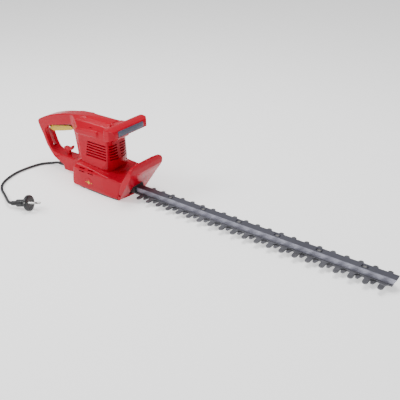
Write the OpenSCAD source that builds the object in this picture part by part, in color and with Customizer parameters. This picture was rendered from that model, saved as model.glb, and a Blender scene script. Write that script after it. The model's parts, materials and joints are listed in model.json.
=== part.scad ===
// Electric hedge trimmer with a D-handle, a transverse front handle and a double-sided blade.
// Millimetres. +X points to the blade tip, +Y to the left of the person holding it, +Z is up.
// The origin is on the flat underside that the trimmer stands on, in its middle plane.

/* [Blade] */
// Distance between neighbouring comb teeth
tooth_pitch = 26.5; // [22:0.5:32]
// Comb teeth on each side
tooth_count = 21; // [9:1:25]
// From the middle of the blade to the tips of the comb teeth
comb_reach = 30.5; // [27:0.5:36]
// From the middle of the blade to the tips of the cutter teeth
cutter_reach = 20.5; // [18:0.5:25]
// Width of a comb tooth
comb_tooth_w = 10; // [8:0.5:11]
// Thickness of the comb
comb_t = 2.5; // [2:0.1:3.2]
// Thickness of the cutter
cutter_t = 2.2; // [1.8:0.1:2.8]
// Full travel of the cutter, end to end
stroke = 26; // [16:1:30]
// Height of the cutter's underside above the ground
blade_lift = 7.6; // [6:0.2:10]
// Width of the guide rail
rail_w = 16; // [14:0.5:20]
// Height of the guide rail
rail_h = 11.5; // [9:0.5:14]
// Screws that hold the comb to the rail
rail_screws = 6; // [3:1:7]

/* [Gear housing] */
// Half of the housing's width
base_half_w = 50; // [46:1:60]
// Wall of the gear housing
housing_wall = 3; // [2.4:0.2:4]
// Thickness of the base cover
cover_t = 3; // [2:0.2:4]

/* [Motor tower] */
// Radius of the motor's stator
stator_r = 25.5; // [21:0.5:31]
// Wall between the motor bay and the outside at the tower's waist
tower_wall = 2.6; // [2:0.2:4]
// Radius of the motor shaft
shaft_r = 4; // [3:0.5:5]
// Louvre slots on each side
louvre_count = 6; // [3:1:6]

/* [Gears] */
// Gear module
gear_module = 1; // [0.8:0.05:1.1]
// Teeth on the drive gear
gear_teeth = 60; // [48:6:60]
// Teeth on the motor pinion
pinion_teeth = 12; // [12:1:14]
// Radius of the drive gear's axle
axle_r = 4; // [3:0.5:5]

/* [Handles] */
// Half of the D-handle's width
grip_half_w = 14.5; // [13:0.5:18]
// Half of the front handle's length
bar_half_l = 58; // [55:1:68]
// Half of the rear trigger's width
trigger_half_w = 7.8; // [6:0.2:9]

/* [Cord] */
// Diameter of the mains cord
cord_d = 6.2; // [5.5:0.1:7.5]

/* [Hidden] */
$fn = 48;

// Clearances
running = 0.05;      // shaft in its bore, on the radius
slip = 0.3;          // parts that move past each other
seat = 0.1;          // parts that are fitted by hand
eps = 0.01;          // cuts reach this far past a face

// Heights of the blade stack
cutter_z = blade_lift;
comb_z = cutter_z + cutter_t + running;
rail_z = comb_z + comb_t;
rail_top = rail_z + rail_h;

// Places along the blade
first_tooth_x = 110;
last_tooth_x = first_tooth_x + (tooth_count - 1) * tooth_pitch;
rail_end_x = last_tooth_x + 20;
comb_end_x = last_tooth_x + 15;
cutter_end_x = comb_end_x - stroke / 2 - 2;
first_screw_x = first_tooth_x + 2.53 * tooth_pitch;
screw_step = (last_tooth_x - 38 - first_screw_x) / (rail_screws - 1);
blade_screw_xs = [for (i = [0 : rail_screws - 1]) first_screw_x + i * screw_step];
comb_body_half = rail_w / 2 + 3;
cutter_body_half = comb_body_half - 1;

// Blade fasteners
blade_screw_r = 2.5;
blade_hole_r = blade_screw_r + seat;
spacer_r = 4.5;
blade_head_r = 6;
blade_head_h = 2.2;
nut_across = 8;
nut_h = 3.2;
nut_pocket_l = 13;

// Gear train: the motor stands behind the drive gear
motor_x = -16;
gear_x = motor_x + (gear_teeth + pinion_teeth) * gear_module / 2;
gear_z = 16;
gear_face = 10;
crank_throw = stroke / 2;
crank_r = 5;
rest_shift = -3.5;     // the cutter stands this far from the middle of its travel
crank_gap = 0.4;
comb_rear_x = gear_x + crank_throw + crank_r + 3;
yoke_half_w = crank_throw + crank_r + 4;
yoke_half_l = crank_r + 7;

// Gear plate
plate_z = gear_z + gear_face + 2;
plate_t = 5;
plate_rear_x = -44;
plate_front_x = 66;
fixing_y = rail_w / 2 + 8;
fixing_x = 58;
fixing_r = 2;
plate_screw_l = 16;
plate_screw_at = [[-36, 33], [-36, -33], [46, 33], [46, -33]];

// Motor
lower_bearing_r = 11;
lower_bearing_h = 7;
upper_bearing_r = 9.5;
upper_bearing_h = 6;
bearing_seat_wall = 3;
lower_bearing_z = plate_z + 2;
motor_bay_r = stator_r + 1.5;
fan_z = 44;
fan_h = 12;
stator_z = 68;
stator_h = 46;
stator_bore_r = 0.63 * stator_r;
armature_r = stator_bore_r - 0.6;
winding_h = 8;
commutator_z = 127;
commutator_h = 14;
commutator_r = 10;
upper_bearing_z = 147;
shaft_bottom = gear_z - 1;
shaft_top = upper_bearing_z + upper_bearing_h - 0.5;
brush_z = commutator_z + commutator_h / 2;
capacitor_foot = [-60.1, 0, 79];
capacitor_r = 6;

// Gear housing outline in side view, from the rear foot over the roof to the front
roof_rear = [-56, 61];
roof_front = [83, 46];
base_rear_x = -71;
base_front_x = 66;
front_foot = [base_front_x, 0];
gear_housing_side = [[-54, 0], [base_rear_x + 1.5, 4.5], [base_rear_x, 10], [-60, 48], roof_rear, roof_front, front_foot];
roof_slope = (roof_front[1] - roof_rear[1]) / (roof_front[0] - roof_rear[0]);
function roof_z(x) = roof_rear[1] + roof_slope * (x - roof_rear[0]);

// Tower widths, from the foot to the crown
waist_half_w = motor_bay_r + tower_wall;
foot_half_w = waist_half_w + 6.5;
tower_front_view = [[foot_half_w, 40], [foot_half_w, 59], [waist_half_w + 4.5, 67],
    [waist_half_w + 2, 80], [waist_half_w, 110], [waist_half_w + 0.5, 128],
    [waist_half_w - 1.5, 141], [waist_half_w - 7, 151], [waist_half_w - 16, 159], [5, 162]];
tower_plan_half = [[-92, grip_half_w], [-80, grip_half_w + 3], [-64, waist_half_w - 4],
    [-44, foot_half_w], [18, foot_half_w], [30, foot_half_w - 4], [37, 18], [41, 0]];

// Side view of the D-handle and tower together, and the opening for the hand
body_side = [[-209, 112], [-205, 118.5], [-193, 125], [-175, 133], [-155, 140], [-130, 147],
    [-104, 152.5], [-64, 158.5], [-18, 162], [20, 162], [34, 160], [36, 130], [36, 100],
    [41, 71], [39, 60], [34, roof_z(34)], roof_rear, [-60.2, 48], [-70.6, 12], [-100, 9],
    [-121, 6.5], [-134, 6.5], [-136, 20], [-150, 24], [-165, 31.5], [-175, 42], [-187, 59],
    [-191, 70], [-195, 81], [-203, 96]];
hand_opening = [[-171, 109.5], [-160, 113], [-130, 120.5], [-96, 128.5], [-87, 125], [-82, 114],
    [-74, 92], [-68, 72], [-71, 58], [-78, 49], [-90, 45.5], [-130, 44], [-156, 45.5],
    [-168, 50], [-174.5, 58], [-179, 69], [-183, 80], [-185, 90], [-183, 99]];

// Bays inside the D-handle and tower
grip_bay = [[-178, 113], [-165, 115.5], [-96, 132.5], [-60, 132.5], [-60, 146], [-104, 147],
    [-155, 135.5], [-178, 126]];
trigger_slot = [[-179, 94], [-93, 94], [-93, 134], [-100, 134], [-165, 118], [-179, 114]];
grip_bay_half_w = grip_half_w - 3.2;
lead_bay = [[-76, 120], [-66, 78], [-40, 70], [-40, 138], [-60, 144], [-76, 140]];
cord_bay = [[-131, 9.2], [-121, 9.2], [-100, 12], [-78, 15], [-74, 40], [-66, 60], [-56, 70],
    [-56, 84], [-64, 84], [-82, 34], [-90, 26], [-131, 19]];
cord_bay_half_w = 4.5;
cable_slot_half_w = cord_d / 2 + 0.6;
cable_slot_low = 53;
cable_slot_high = 96;

// Louvres
louvre_low = 78;
louvre_step = 6.1;
louvre_gap = 2.8;
louvre_rear_x = -33;
louvre_front_x = 28;

// Housing screws run along Y and all have the same length
housing_screw_at = [[-197, 110], [-152, 35], [-99, 38], [-69.5, 104], [-52, 152], [24, 148], [31, 66]];
shell_screw_r = 1.8;
shell_head_r = 3.6;
shell_head_h = 2.6;
shell_screw_l = 18;
shell_head_y = 8;
boss_r = 5;
tower_screw_at = [[-46, 25], [16, 28]];
tower_boss_h = 18;
tower_screw_l = 16;

// Front handle
bar_section = [[45, 149], [46, 157], [51, 163], [60, 164.5], [70, 162.5], [75, 160], [77, 152.5],
    [76.5, 145.5], [73, 143], [62, 139.6], [50, 139]];
bar_rear_x = 45;
bar_front_x = 77;
bar_split_z = 152;
bar_end_chamfer = 9;
neck_half_w = 18;
neck_side = [[36.1, 118], [36.1, 130], [34.7, bar_split_z], [50, bar_split_z], [60, 141], [52, 128]];
neck_top = [[34.7, bar_split_z], [34.2, 159.5], [50, 161], [50, bar_split_z]];
switch_bar_half_l = 38.5;
switch_bar_h = 12.6;
switch_bar_z = 152.4;
switch_bar_front_x = 78;
lip_reach = 1.8;
lip_t = 3;
bar_bay_rear_x = 51;
bar_bay_front_x = 72.5;
bar_bay_low = switch_bar_z - switch_bar_h / 2 - slip;
bar_bay_high = switch_bar_z + switch_bar_h / 2 + slip;
bar_bay_half_l = switch_bar_half_l + lip_reach + slip;
lip_x = bar_bay_front_x - slip - lip_t;
front_switch_size = [8, 20, 12];
front_plunger_r = 1.6;
front_plunger_x = bar_bay_rear_x + front_switch_size[0];
front_plunger_grip = 2;
bar_spring_y = 26;
bar_spring_r = 3;
handle_screw_y = 12;
handle_screw_z = 136;
handle_seat_x = 29;
handle_screw_l = 16;

// Rear trigger: it hangs from a pin at its rear end
trigger_pivot = [-170, 106.5];
trigger_pin_r = 2;
trigger_side = [[-176, 103], [-173, 98.5], [-162, 96.5], [-130, 104], [-101, 112], [-97, 117],
    [-97.5, 121], [-108, 121.5], [-162, 110.5], [-168, 111], [-174, 109.5]];
plunger_x = -114;
plunger_r = 1.8;
plunger_low_z = 120.8;
plunger_l = 13;
rear_switch_size = [24, 16, 9.5];
rear_switch_z = 131.4;
plunger_bore_l = 8.6;
spring_x = -146;
spring_r = 2.6;
spring_wire_r = 0.4;
spring_low_z = 115;
spring_high_z = 136.6;

// Cord hook on the lower strut, in side view, and its foot in the strut
hook_side = [[-130, 37], [-122, 37], [-122, 55], [-117, 56], [-112, 60], [-109, 67], [-112, 69],
    [-116, 64.5], [-122, 62.5], [-136, 62.5], [-140, 60], [-138, 56.5], [-130, 55]];
hook_half_w = 4;
hook_foot = [[-130, -hook_half_w, 37], [-122, hook_half_w, 48]];

// Cord clamp in the lower strut
clamp_low = [-115, -10, 19];
clamp_high = [-105, 10, 22.5];
clamp_screw_y = 7.5;
clamp_screw_r = 1.2;
clamp_screw_l = 7.5;

// Strain relief and plug: each is a body of revolution on a tilted axis
relief_root = [-131, 0, 13.4];
relief_tip = [-166, 0, 10];
plug_root = [-94, -198, 10.6];
plug_heading = 20;
plug_pitch = 9;
plug_disc_r = 17;
plug_pin_r = 2.4;
plug_pin_gap = 19;

// Route of the mains cord, from the strain relief round to the plug
cord_floor = cord_d / 2 + 0.1;
cord_route = [relief_tip, [-178, -0.5, 7.6], [-189, -3.5, 4.8], [-199, -9.5, 3.5],
    [-207, -18, cord_floor], [-212, -29, cord_floor], [-215, -42, cord_floor],
    [-217.5, -56, cord_floor], [-218.5, -70, cord_floor], [-218.5, -84, cord_floor],
    [-216.5, -97, cord_floor], [-213, -110, cord_floor], [-208, -124, cord_floor],
    [-202, -136, cord_floor], [-194, -147, cord_floor], [-184, -156.5, cord_floor],
    [-173, -164, 3.4], [-161, -170, 3.8], [-149, -175.5, 4.4], [-138, -181, 5.3],
    [-128, -186, 6.4], [-119, -190.8, 7.6], [-110, -195, 8.9], [-102, -198, 9.8], plug_root];

// Colours
red = "#c1272d";
black = "#1c1c1f";
grey = "#6b6f7a";
steel = "#b8b8b4";
alloy = "#9a9aa4";
yellow = "#d9b23a";
copper = "#b5652e";
brass = "#c9a24a";

// ---- Shared shapes ----

// A side-view outline (X, Z) made solid from -half_w to half_w along Y
module slab(outline, half_w) {
    translate([0, half_w, 0]) rotate([90, 0, 0]) linear_extrude(2 * half_w) polygon(outline);
}

// A front-view outline (Y, Z) made solid from x0 to x1
module ahead(outline, x0, x1) {
    translate([x0, 0, 0]) rotate([90, 0, 90]) linear_extrude(x1 - x0) polygon(outline);
}

// A box given by its lower and upper corner
module block(low, high) {
    translate(low) cube(high - low);
}

// A half outline together with its mirror image about the first axis of the pair
function both_sides(half) = concat(half, [for (i = [len(half) - 1 : -1 : 0]) [-half[i][0], half[i][1]]]);
function both_flanks(half) = concat(half, [for (i = [len(half) - 1 : -1 : 0]) [half[i][0], -half[i][1]]]);

// A round screw pointing down from the origin, with its head above
module screw(length, shank, head, head_h) {
    translate([0, 0, -length]) cylinder(r = shank, h = length + eps);
    difference() {
        cylinder(r = head, h = head_h);
        translate([-0.3 * head, -0.5, head_h - 0.8]) cube([0.6 * head, 1, 1]);
        translate([-0.5, -0.3 * head, head_h - 0.8]) cube([1, 0.6 * head, 1]);
    }
}

// Everything on one side of the joint plane between the two shells
module side_half(sign) {
    intersection() {
        children();
        block([-300, sign > 0 ? 0 : -100, -10], [200, sign > 0 ? 100 : 0, 250]);
    }
}

// Straight-flanked gear teeth, thinned for backlash
function gear_points(teeth, root_fill, thin) = let (pitch_r = teeth * gear_module / 2,
        root_r = pitch_r - 1.2 * gear_module, tip_r = pitch_r + 0.85 * gear_module, half = 90 / teeth)
    [for (i = [0 : teeth - 1]) for (p = [[root_r, -root_fill], [tip_r, -thin], [tip_r, thin],
        [root_r, root_fill]]) let (a = 360 * i / teeth + p[1] * half) [p[0] * cos(a), p[0] * sin(a)]];

// A coil spring along +Z
module coil(radius, wire, length, turns) {
    sides = 5;
    steps = turns * 9;
    points = [for (i = [0 : steps]) for (j = [0 : sides - 1])
        let (a = 360 * turns * i / steps, b = 360 * j / sides, r = radius + wire * cos(b))
        [r * cos(a), r * sin(a), wire + (length - 2 * wire) * i / steps + wire * sin(b)]];
    polyhedron(points, tube_faces(steps + 1, sides));
}

// Faces of a tube made of rings, closed at both ends
function tube_faces(rings, sides) = concat(
    [[for (j = [sides - 1 : -1 : 0]) j]],
    [for (i = [0 : rings - 2]) for (j = [0 : sides - 1]) let (k = (j + 1) % sides)
        [i * sides + k, (i + 1) * sides + k, (i + 1) * sides + j]],
    [for (i = [0 : rings - 2]) for (j = [0 : sides - 1]) let (k = (j + 1) % sides)
        [i * sides + k, (i + 1) * sides + j, i * sides + j]],
    [[for (j = [0 : sides - 1]) (rings - 1) * sides + j]]);

function unit(v) = v / norm(v);

// A point at t on the smooth curve through four neighbouring route points
function smooth(a, b, c, d, t) = 0.5 * (2 * b + (c - a) * t + (2 * a - 5 * b + 4 * c - d) * t * t
    + (3 * b - a - 3 * c + d) * t * t * t);

// Stands a body of revolution on a tilted axis, with its own Z along the axis
module along(root, heading, pitch) {
    translate(root) rotate([0, 90 - pitch, heading]) children();
}

// A body of revolution from a half outline of (radius, height) points
module turned(outline) {
    rotate_extrude() polygon(outline);
}

// ---- Housings ----

module body_outer() {
    slab_half = 60;
    intersection() {
        slab(body_side, slab_half);
        ahead(both_sides(tower_front_view), -95, 45);
        translate([0, 0, 5]) linear_extrude(170) polygon(both_flanks(tower_plan_half));
        block([-200, -slab_half, 45], [100, slab_half, 170]);
    }
    intersection() {
        slab(body_side, grip_half_w);
        block([-220, -slab_half, 0], [-40, slab_half, 170]);
    }
}

module body_bays() {
    translate([motor_x, 0, 40]) cylinder(r = motor_bay_r, h = 104);
    translate([motor_x, 0, 143]) cylinder(r = shaft_r + 3, h = 5);
    translate([motor_x, 0, upper_bearing_z]) cylinder(r = upper_bearing_r + running, h = upper_bearing_h);
    block([motor_x, -19, 40], [24, 19, 126]);
    slab(grip_bay, grip_bay_half_w);
    slab(lead_bay, grip_bay_half_w + 4);
    slab(cord_bay, cord_bay_half_w);
    slab(trigger_slot, trigger_half_w + slip);
}

module louvres() {
    for (i = [0 : louvre_count - 1]) {
        z = louvre_low + i * louvre_step;
        for (s = [-1, 1])
            block([louvre_rear_x + i, s > 0 ? waist_half_w - 8 : -60, z],
                [louvre_front_x, s > 0 ? 60 : 8 - waist_half_w, z + louvre_gap]);
        block([20, 4, z], [60, waist_half_w - 4, z + louvre_gap]);
        block([20, 4 - waist_half_w, z], [60, -4, z + louvre_gap]);
    }
}

module shell_bosses() {
    for (at = housing_screw_at)
        translate([at[0], 11, at[1]]) rotate([90, 0, 0]) cylinder(r = boss_r, h = 22);
    for (at = tower_screw_at, s = [-1, 1])
        translate([at[0], s * at[1], roof_z(at[0]) - 6]) cylinder(r = 4.5, h = tower_boss_h + 6);
    for (z = [stator_z + 2, stator_z + stator_h - 5]) translate([motor_x, 0, z]) difference() {
        cylinder(r = motor_bay_r + 1, h = 3);
        translate([0, 0, -1]) cylinder(r = stator_r + seat, h = 5);
    }
}

module shell_holes() {
    for (at = housing_screw_at) translate([at[0], 0, at[1]]) {
        translate([0, shell_head_y + eps, 0]) rotate([90, 0, 0])
            cylinder(r = shell_screw_r + running, h = shell_screw_l + seat);
        translate([0, shell_head_y, 0]) rotate([-90, 0, 0]) cylinder(r = shell_head_r + seat, h = 60);
    }
    for (at = tower_screw_at, s = [-1, 1])
        translate([at[0], s * at[1], 40]) cylinder(r = shell_screw_r + running, h = 32);
    for (s = [-1, 1]) translate([0, s * handle_screw_y, handle_screw_z]) rotate([0, 90, 0]) {
        cylinder(r = shell_screw_r + running, h = 60);
        cylinder(r = shell_head_r + seat, h = handle_seat_x);
    }
}

module shells() {
    difference() {
        union() {
            difference() {
                body_outer();
                body_bays();
                louvres();
            }
            intersection() {
                shell_bosses();
                body_outer();
            }
        }
        slab(hand_opening, 60);
        block([-210, -cable_slot_half_w, cable_slot_low], [-172, cable_slot_half_w, cable_slot_high]);
        shell_holes();
        relief_seat();
        block(hook_foot[0] - [seat, seat, seat], hook_foot[1] + [seat, seat, 0]);
        block(clamp_low - [seat, seat, seat], clamp_high + [seat, seat, 5]);
        for (s = [-1, 1]) translate([clamp_mid_x, s * clamp_screw_y, clamp_high[2] - clamp_screw_l - seat])
            cylinder(r = clamp_screw_r + running, h = clamp_screw_l);
        pin_hole();
    }
}

module pin_hole() {
    translate([trigger_pivot[0], grip_half_w - 2, trigger_pivot[1]]) rotate([90, 0, 0])
        cylinder(r = trigger_pin_r + running, h = 2 * grip_half_w - 4);
}

// Room in the shells for the root of the strain relief
module relief_seat() {
    relief_axis() {
        translate([0, 0, -1]) cylinder(r = relief_flange_r + seat, h = relief_flange_t + 1 + seat);
        cylinder(r = relief_neck_r + seat, h = 20);
    }
}

module housing_left() {
    color(red) side_half(-1) shells();
}

module housing_right() {
    color(red) side_half(1) shells();
}

// Places on the gear housing
base_screw_at = [[-30, 43], [-30, -43], [58, 39], [58, -39]];
base_screw_l = 11;
base_head_h = 1.5;
guard_screw_at = [[30, 20], [-30, 20], [34, 38], [-34, 38]];
guard_seat = 6;
guard_screw_l = 12;
badge_x = -14;
badge_z = 22;
badge_r = 11;
badge_t = 1;
function guard_wall_x(z) = base_front_x + (roof_front[0] - base_front_x) * z / roof_front[1];

module gear_housing_outer() {
    plan = both_flanks([[base_rear_x - 2, base_half_w - 5], [-65, base_half_w - 1.5],
        [-40, base_half_w], [30, base_half_w], [90, base_half_w - 4.5]]);
    front_view = both_sides([[base_half_w - 2, 0], [base_half_w, 12], [base_half_w, 47],
        [base_half_w - 4, 55], [base_half_w - 12, 62]]);
    intersection() {
        slab(gear_housing_side, base_half_w + 5);
        translate([0, 0, cover_t]) linear_extrude(80) polygon(plan);
        ahead(front_view, base_rear_x - 5, 100);
    }
}

module gear_housing_inner() {
    w = housing_wall;
    side = [[-55, -1], [-59, 3], [base_rear_x + w + 1, 10], [-56.2, 46.6], [roof_rear[0] + w, roof_rear[1] - w - 1],
        [roof_front[0] - w - 2, roof_front[1] - w - 1], [base_front_x - w, -1]];
    front_view = both_sides([[base_half_w - w - 3, -1], [base_half_w - w, 12], [base_half_w - w, 45],
        [base_half_w - w - 4, 52], [base_half_w - w - 11, 58]]);
    plan = both_flanks([[base_rear_x - 2, base_half_w - 6 - w], [-63, base_half_w - 2.5 - w],
        [-40, base_half_w - w], [30, base_half_w - w], [90, base_half_w - 5 - w]]);
    intersection() {
        slab(side, base_half_w);
        ahead(front_view, base_rear_x, 90);
        translate([0, 0, -1]) linear_extrude(80) polygon(plan);
    }
}

module gear_housing_bosses() {
    for (at = plate_screw_at)
        translate([at[0], at[1], plate_z + plate_t]) cylinder(r = 4.5, h = 40);
    for (at = base_screw_at)
        translate([at[0], at[1], cover_t]) cylinder(r = 4.5, h = 60);
    for (at = guard_screw_at)
        translate([guard_wall_x(at[1]) - guard_seat, at[0], at[1]]) rotate([0, 90, 0])
            cylinder(r = 5, h = 20);
}

module gear_housing() {
    color(red) difference() {
        union() {
            difference() {
                gear_housing_outer();
                gear_housing_inner();
            }
            intersection() {
                gear_housing_outer();
                gear_housing_bosses();
            }
        }
        translate([motor_x, 0, 30]) cylinder(r = motor_bay_r + 0.5, h = 60);
        for (at = plate_screw_at)
            translate([at[0], at[1], plate_z]) cylinder(r = shell_screw_r + running, h = plate_screw_l + 1);
        for (at = base_screw_at)
            translate([at[0], at[1], -1]) cylinder(r = shell_screw_r + running, h = 15);
        for (at = guard_screw_at) translate([guard_wall_x(at[1]) - guard_seat, at[0], at[1]])
            rotate([0, 90, 0]) {
                translate([0, 0, -1]) cylinder(r = shell_screw_r + running, h = 30);
                translate([0, 0, -8]) cylinder(r = shell_head_r + seat, h = 8);
            }
        for (at = tower_screw_at, s = [-1, 1])
            translate([at[0], s * at[1], 40]) cylinder(r = shell_screw_r + running, h = 32);
        blade_mouth();
        side_vents();
        translate([badge_x, -base_half_w - 1, badge_z]) rotate([-90, 0, 0])
            cylinder(r = badge_r + seat, h = 1 + badge_t);
    }
}

// Opening in the front that the bracket and the blade pass through
module blade_mouth() {
    block([50, -bracket_half_w - slip, cutter_z - 3], [130, bracket_half_w + slip, bracket_top + slip]);
}

// Two columns of two short slots on each side
module side_vents() {
    for (s = [-1, 1], x = [-42, -15], z = [43, 50])
        block([x, s > 0 ? base_half_w - 8 : -base_half_w - 8, z],
            [x + 17, s > 0 ? base_half_w + 8 : 8 - base_half_w, z + 2.6]);
}

module base_cover() {
    side = [[-62, cover_t - running], [-53, 0], [base_front_x - 1, 0], [base_front_x - 1, cover_t - running]];
    plan = both_flanks([[-62, base_half_w - 8], [-40, base_half_w - 4], [30, base_half_w - 3],
        [base_front_x, base_half_w - 5]]);
    color(black) difference() {
        intersection() {
            slab(side, base_half_w);
            translate([0, 0, -1]) linear_extrude(20) polygon(plan);
        }
        for (at = base_screw_at) translate([at[0], at[1], -1]) {
            cylinder(r = shell_screw_r + seat, h = 10);
            cylinder(r = shell_head_r + seat, h = 1 + base_head_h + seat);
        }
    }
}

module hand_guard() {
    side = [[base_front_x + eps, 0], [roof_front[0] + eps, roof_front[1]], [95, 62], [105, 76],
        [109, 85], [109, 95], [113.5, 95], [116.5, 82], [115, 70], [109, 60], [99, 46], [87, 27], [76, 10],
        [70, 0]];
    w = base_half_w;
    front_view = both_sides([[w - 4, 0], [w - 1.5, 25], [w + 1, 50], [w + 2.5, 70], [w + 2, 80],
        [w - 1, 86], [w - 7, 89.5], [w - 25, 91.5]]);
    color(red) difference() {
        union() {
            difference() {
                intersection() {
                    slab(side, 60);
                    ahead(front_view, 60, 120);
                }
                translate([120, 0, -20]) rotate([0, 33, 0]) translate([46, 0, 0])
                    cylinder(r = 94, h = 160, $fn = 96);
            }
            intersection() {
                translate([75 - 136, 0, 0]) cylinder(r = 136, h = 11, $fn = 128);
                slab([[base_front_x + eps, 0], [guard_wall_x(11) + eps, 11], [80, 11], [80, 0]], w - 4);
            }
        }
        blade_mouth();
        for (at = guard_screw_at) translate([guard_wall_x(at[1]) - 4, at[0], at[1]])
            rotate([0, 90, 0]) cylinder(r = shell_screw_r + running, h = guard_screw_l - guard_seat + 5);
    }
}

module guard_screws() {
    color(steel) for (at = guard_screw_at)
        translate([guard_wall_x(at[1]) - guard_seat, at[0], at[1]]) rotate([0, -90, 0])
            screw(guard_screw_l, shell_screw_r, shell_head_r, 2.2);
}

module base_screws() {
    color(steel) for (at = base_screw_at)
        translate([at[0], at[1], base_head_h + 0.1]) mirror([0, 0, 1])
            screw(base_screw_l, shell_screw_r, shell_head_r, base_head_h);
}

module housing_screws() {
    color(steel) for (at = housing_screw_at)
        translate([at[0], shell_head_y, at[1]]) rotate([-90, 0, 0])
            screw(shell_screw_l, shell_screw_r, shell_head_r, shell_head_h);
}

module tower_screws() {
    color(steel) for (at = tower_screw_at, s = [-1, 1])
        translate([at[0], s * at[1], roof_z(at[0]) - housing_wall - 1.6]) mirror([0, 0, 1])
            screw(tower_screw_l, shell_screw_r, shell_head_r, 2.2);
}

module badge() {
    color(yellow) translate([badge_x, -base_half_w - 0.3, badge_z]) rotate([-90, 0, 0])
        cylinder(r = badge_r, h = badge_t + 0.3);
}

// ---- Front handle ----

module bar_outer() {
    c = bar_end_chamfer;
    intersection() {
        slab(bar_section, bar_half_l);
        translate([0, 0, 100]) linear_extrude(100) polygon(both_flanks([[bar_rear_x, bar_half_l - c],
            [bar_rear_x + c, bar_half_l], [bar_front_x - c, bar_half_l], [bar_front_x, bar_half_l - c]]));
    }
}

module handle_whole() {
    difference() {
        union() {
            bar_outer();
            slab(neck_side, neck_half_w);
            slab(neck_top, neck_half_w - 2);
        }
        block([bar_bay_rear_x, -bar_bay_half_l, bar_bay_low],
            [bar_bay_front_x, bar_bay_half_l, bar_bay_high]);
        block([bar_bay_rear_x, -switch_bar_half_l - slip, switch_bar_z - switch_bar_h / 2 - slip],
            [90, switch_bar_half_l + slip, switch_bar_z + switch_bar_h / 2 + slip]);
        for (s = [-1, 1]) translate([30, s * handle_screw_y, handle_screw_z]) rotate([0, 90, 0])
            cylinder(r = shell_screw_r + running, h = handle_seat_x + handle_screw_l - 29);
        for (s = [-1, 1]) translate([56, s * bar_screw_y, 0]) {
            translate([0, 0, 130]) cylinder(r = shell_screw_r + running, h = 30);
            translate([0, 0, 120]) cylinder(r = shell_head_r + seat, h = bar_screw_seat - 120);
        }
    }
}

bar_screw_y = bar_half_l - 10;
bar_screw_seat = 144;
bar_screw_l = 14;

module front_handle_upper() {
    color(red) intersection() {
        handle_whole();
        block([20, -80, bar_split_z], [100, 80, 200]);
    }
}

module front_handle_lower() {
    color(red) intersection() {
        handle_whole();
        block([20, -80, 100], [100, 80, bar_split_z]);
    }
}

module front_switch_bar() {
    h = switch_bar_h / 2;
    color(grey) {
        block([lip_x, -switch_bar_half_l, switch_bar_z - h],
            [switch_bar_front_x, switch_bar_half_l, switch_bar_z + h]);
        block([lip_x, -switch_bar_half_l - lip_reach, switch_bar_z - h],
            [lip_x + lip_t, switch_bar_half_l + lip_reach, switch_bar_z + h]);
    }
}

module front_switch() {
    s = front_switch_size;
    color(black) difference() {
        block([bar_bay_rear_x + seat, -s[1] / 2, switch_bar_z - s[2] / 2],
            [bar_bay_rear_x + s[0], s[1] / 2, switch_bar_z + s[2] / 2]);
        translate([bar_bay_rear_x + 1, 0, switch_bar_z]) rotate([0, 90, 0])
            cylinder(r = front_plunger_r + running, h = s[0]);
    }
}

module front_switch_plunger() {
    from = front_plunger_x - front_plunger_grip;
    color(yellow) translate([from, 0, switch_bar_z]) rotate([0, 90, 0])
        cylinder(r = front_plunger_r, h = lip_x - slip - from);
}

module front_bar_springs() {
    color(steel) for (s = [-1, 1]) translate([bar_bay_rear_x + seat, s * bar_spring_y, switch_bar_z])
        rotate([0, 90, 0]) coil(bar_spring_r, 0.4, lip_x - bar_bay_rear_x - 2 * seat, 5);
}

module handle_screws() {
    color(steel) {
        for (s = [-1, 1]) translate([handle_seat_x, s * handle_screw_y, handle_screw_z])
            rotate([0, -90, 0]) screw(handle_screw_l, shell_screw_r, shell_head_r, 2.4);
        for (s = [-1, 1]) translate([56, s * bar_screw_y, bar_screw_seat]) mirror([0, 0, 1])
            screw(bar_screw_l, shell_screw_r, shell_head_r, 2.4);
    }
}

// ---- Rear trigger and its switch ----

module rear_trigger() {
    color(yellow) difference() {
        slab(trigger_side, trigger_half_w);
        translate([trigger_pivot[0], 20, trigger_pivot[1]]) rotate([90, 0, 0])
            cylinder(r = trigger_pin_r + running, h = 40);
    }
}

module trigger_pin() {
    l = grip_half_w - 2 - seat;
    color(steel) translate([trigger_pivot[0], l, trigger_pivot[1]]) rotate([90, 0, 0])
        cylinder(r = trigger_pin_r, h = 2 * l);
}

module trigger_spring() {
    color(steel) translate([spring_x, 0, spring_low_z])
        coil(spring_r, spring_wire_r, spring_high_z - spring_low_z, 7);
}

module rear_switch() {
    s = rear_switch_size;
    color(black) difference() {
        block([plunger_x - s[0] / 2, -s[1] / 2, rear_switch_z],
            [plunger_x + s[0] / 2, s[1] / 2, rear_switch_z + s[2]]);
        translate([plunger_x, 0, rear_switch_z - 1]) cylinder(r = plunger_r + running, h = plunger_bore_l + 1);
    }
}

module rear_switch_plunger() {
    color(black) translate([plunger_x, 0, plunger_low_z + plunger_r]) {
        cylinder(r = plunger_r, h = plunger_l - plunger_r);
        sphere(r = plunger_r);
    }
}

module cord_hook() {
    color(red) slab(hook_side, hook_half_w);
}

// ---- Cord entry, cord and plug ----

relief_flange_r = 5.8;
relief_flange_t = 3;
relief_neck_r = 5;
relief_tip_r = 4.2;
clamp_mid_x = (clamp_low[0] + clamp_high[0]) / 2;

module relief_axis() {
    drop = relief_root - relief_tip;
    along(relief_root, 180, -asin(drop[2] / norm(drop))) children();
}

module strain_relief() {
    l = norm(relief_root - relief_tip);
    color(black) relief_axis() turned([[0, 0], [relief_flange_r, 0], [relief_flange_r, relief_flange_t],
        [relief_neck_r, relief_flange_t], [relief_neck_r, 8], [relief_tip_r, l], [0, l]]);
}

module cord_clamp() {
    color(black) difference() {
        block(clamp_low, clamp_high);
        for (s = [-1, 1]) translate([clamp_mid_x, s * clamp_screw_y, 0])
            cylinder(r = clamp_screw_r + running, h = 60);
    }
}

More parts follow.
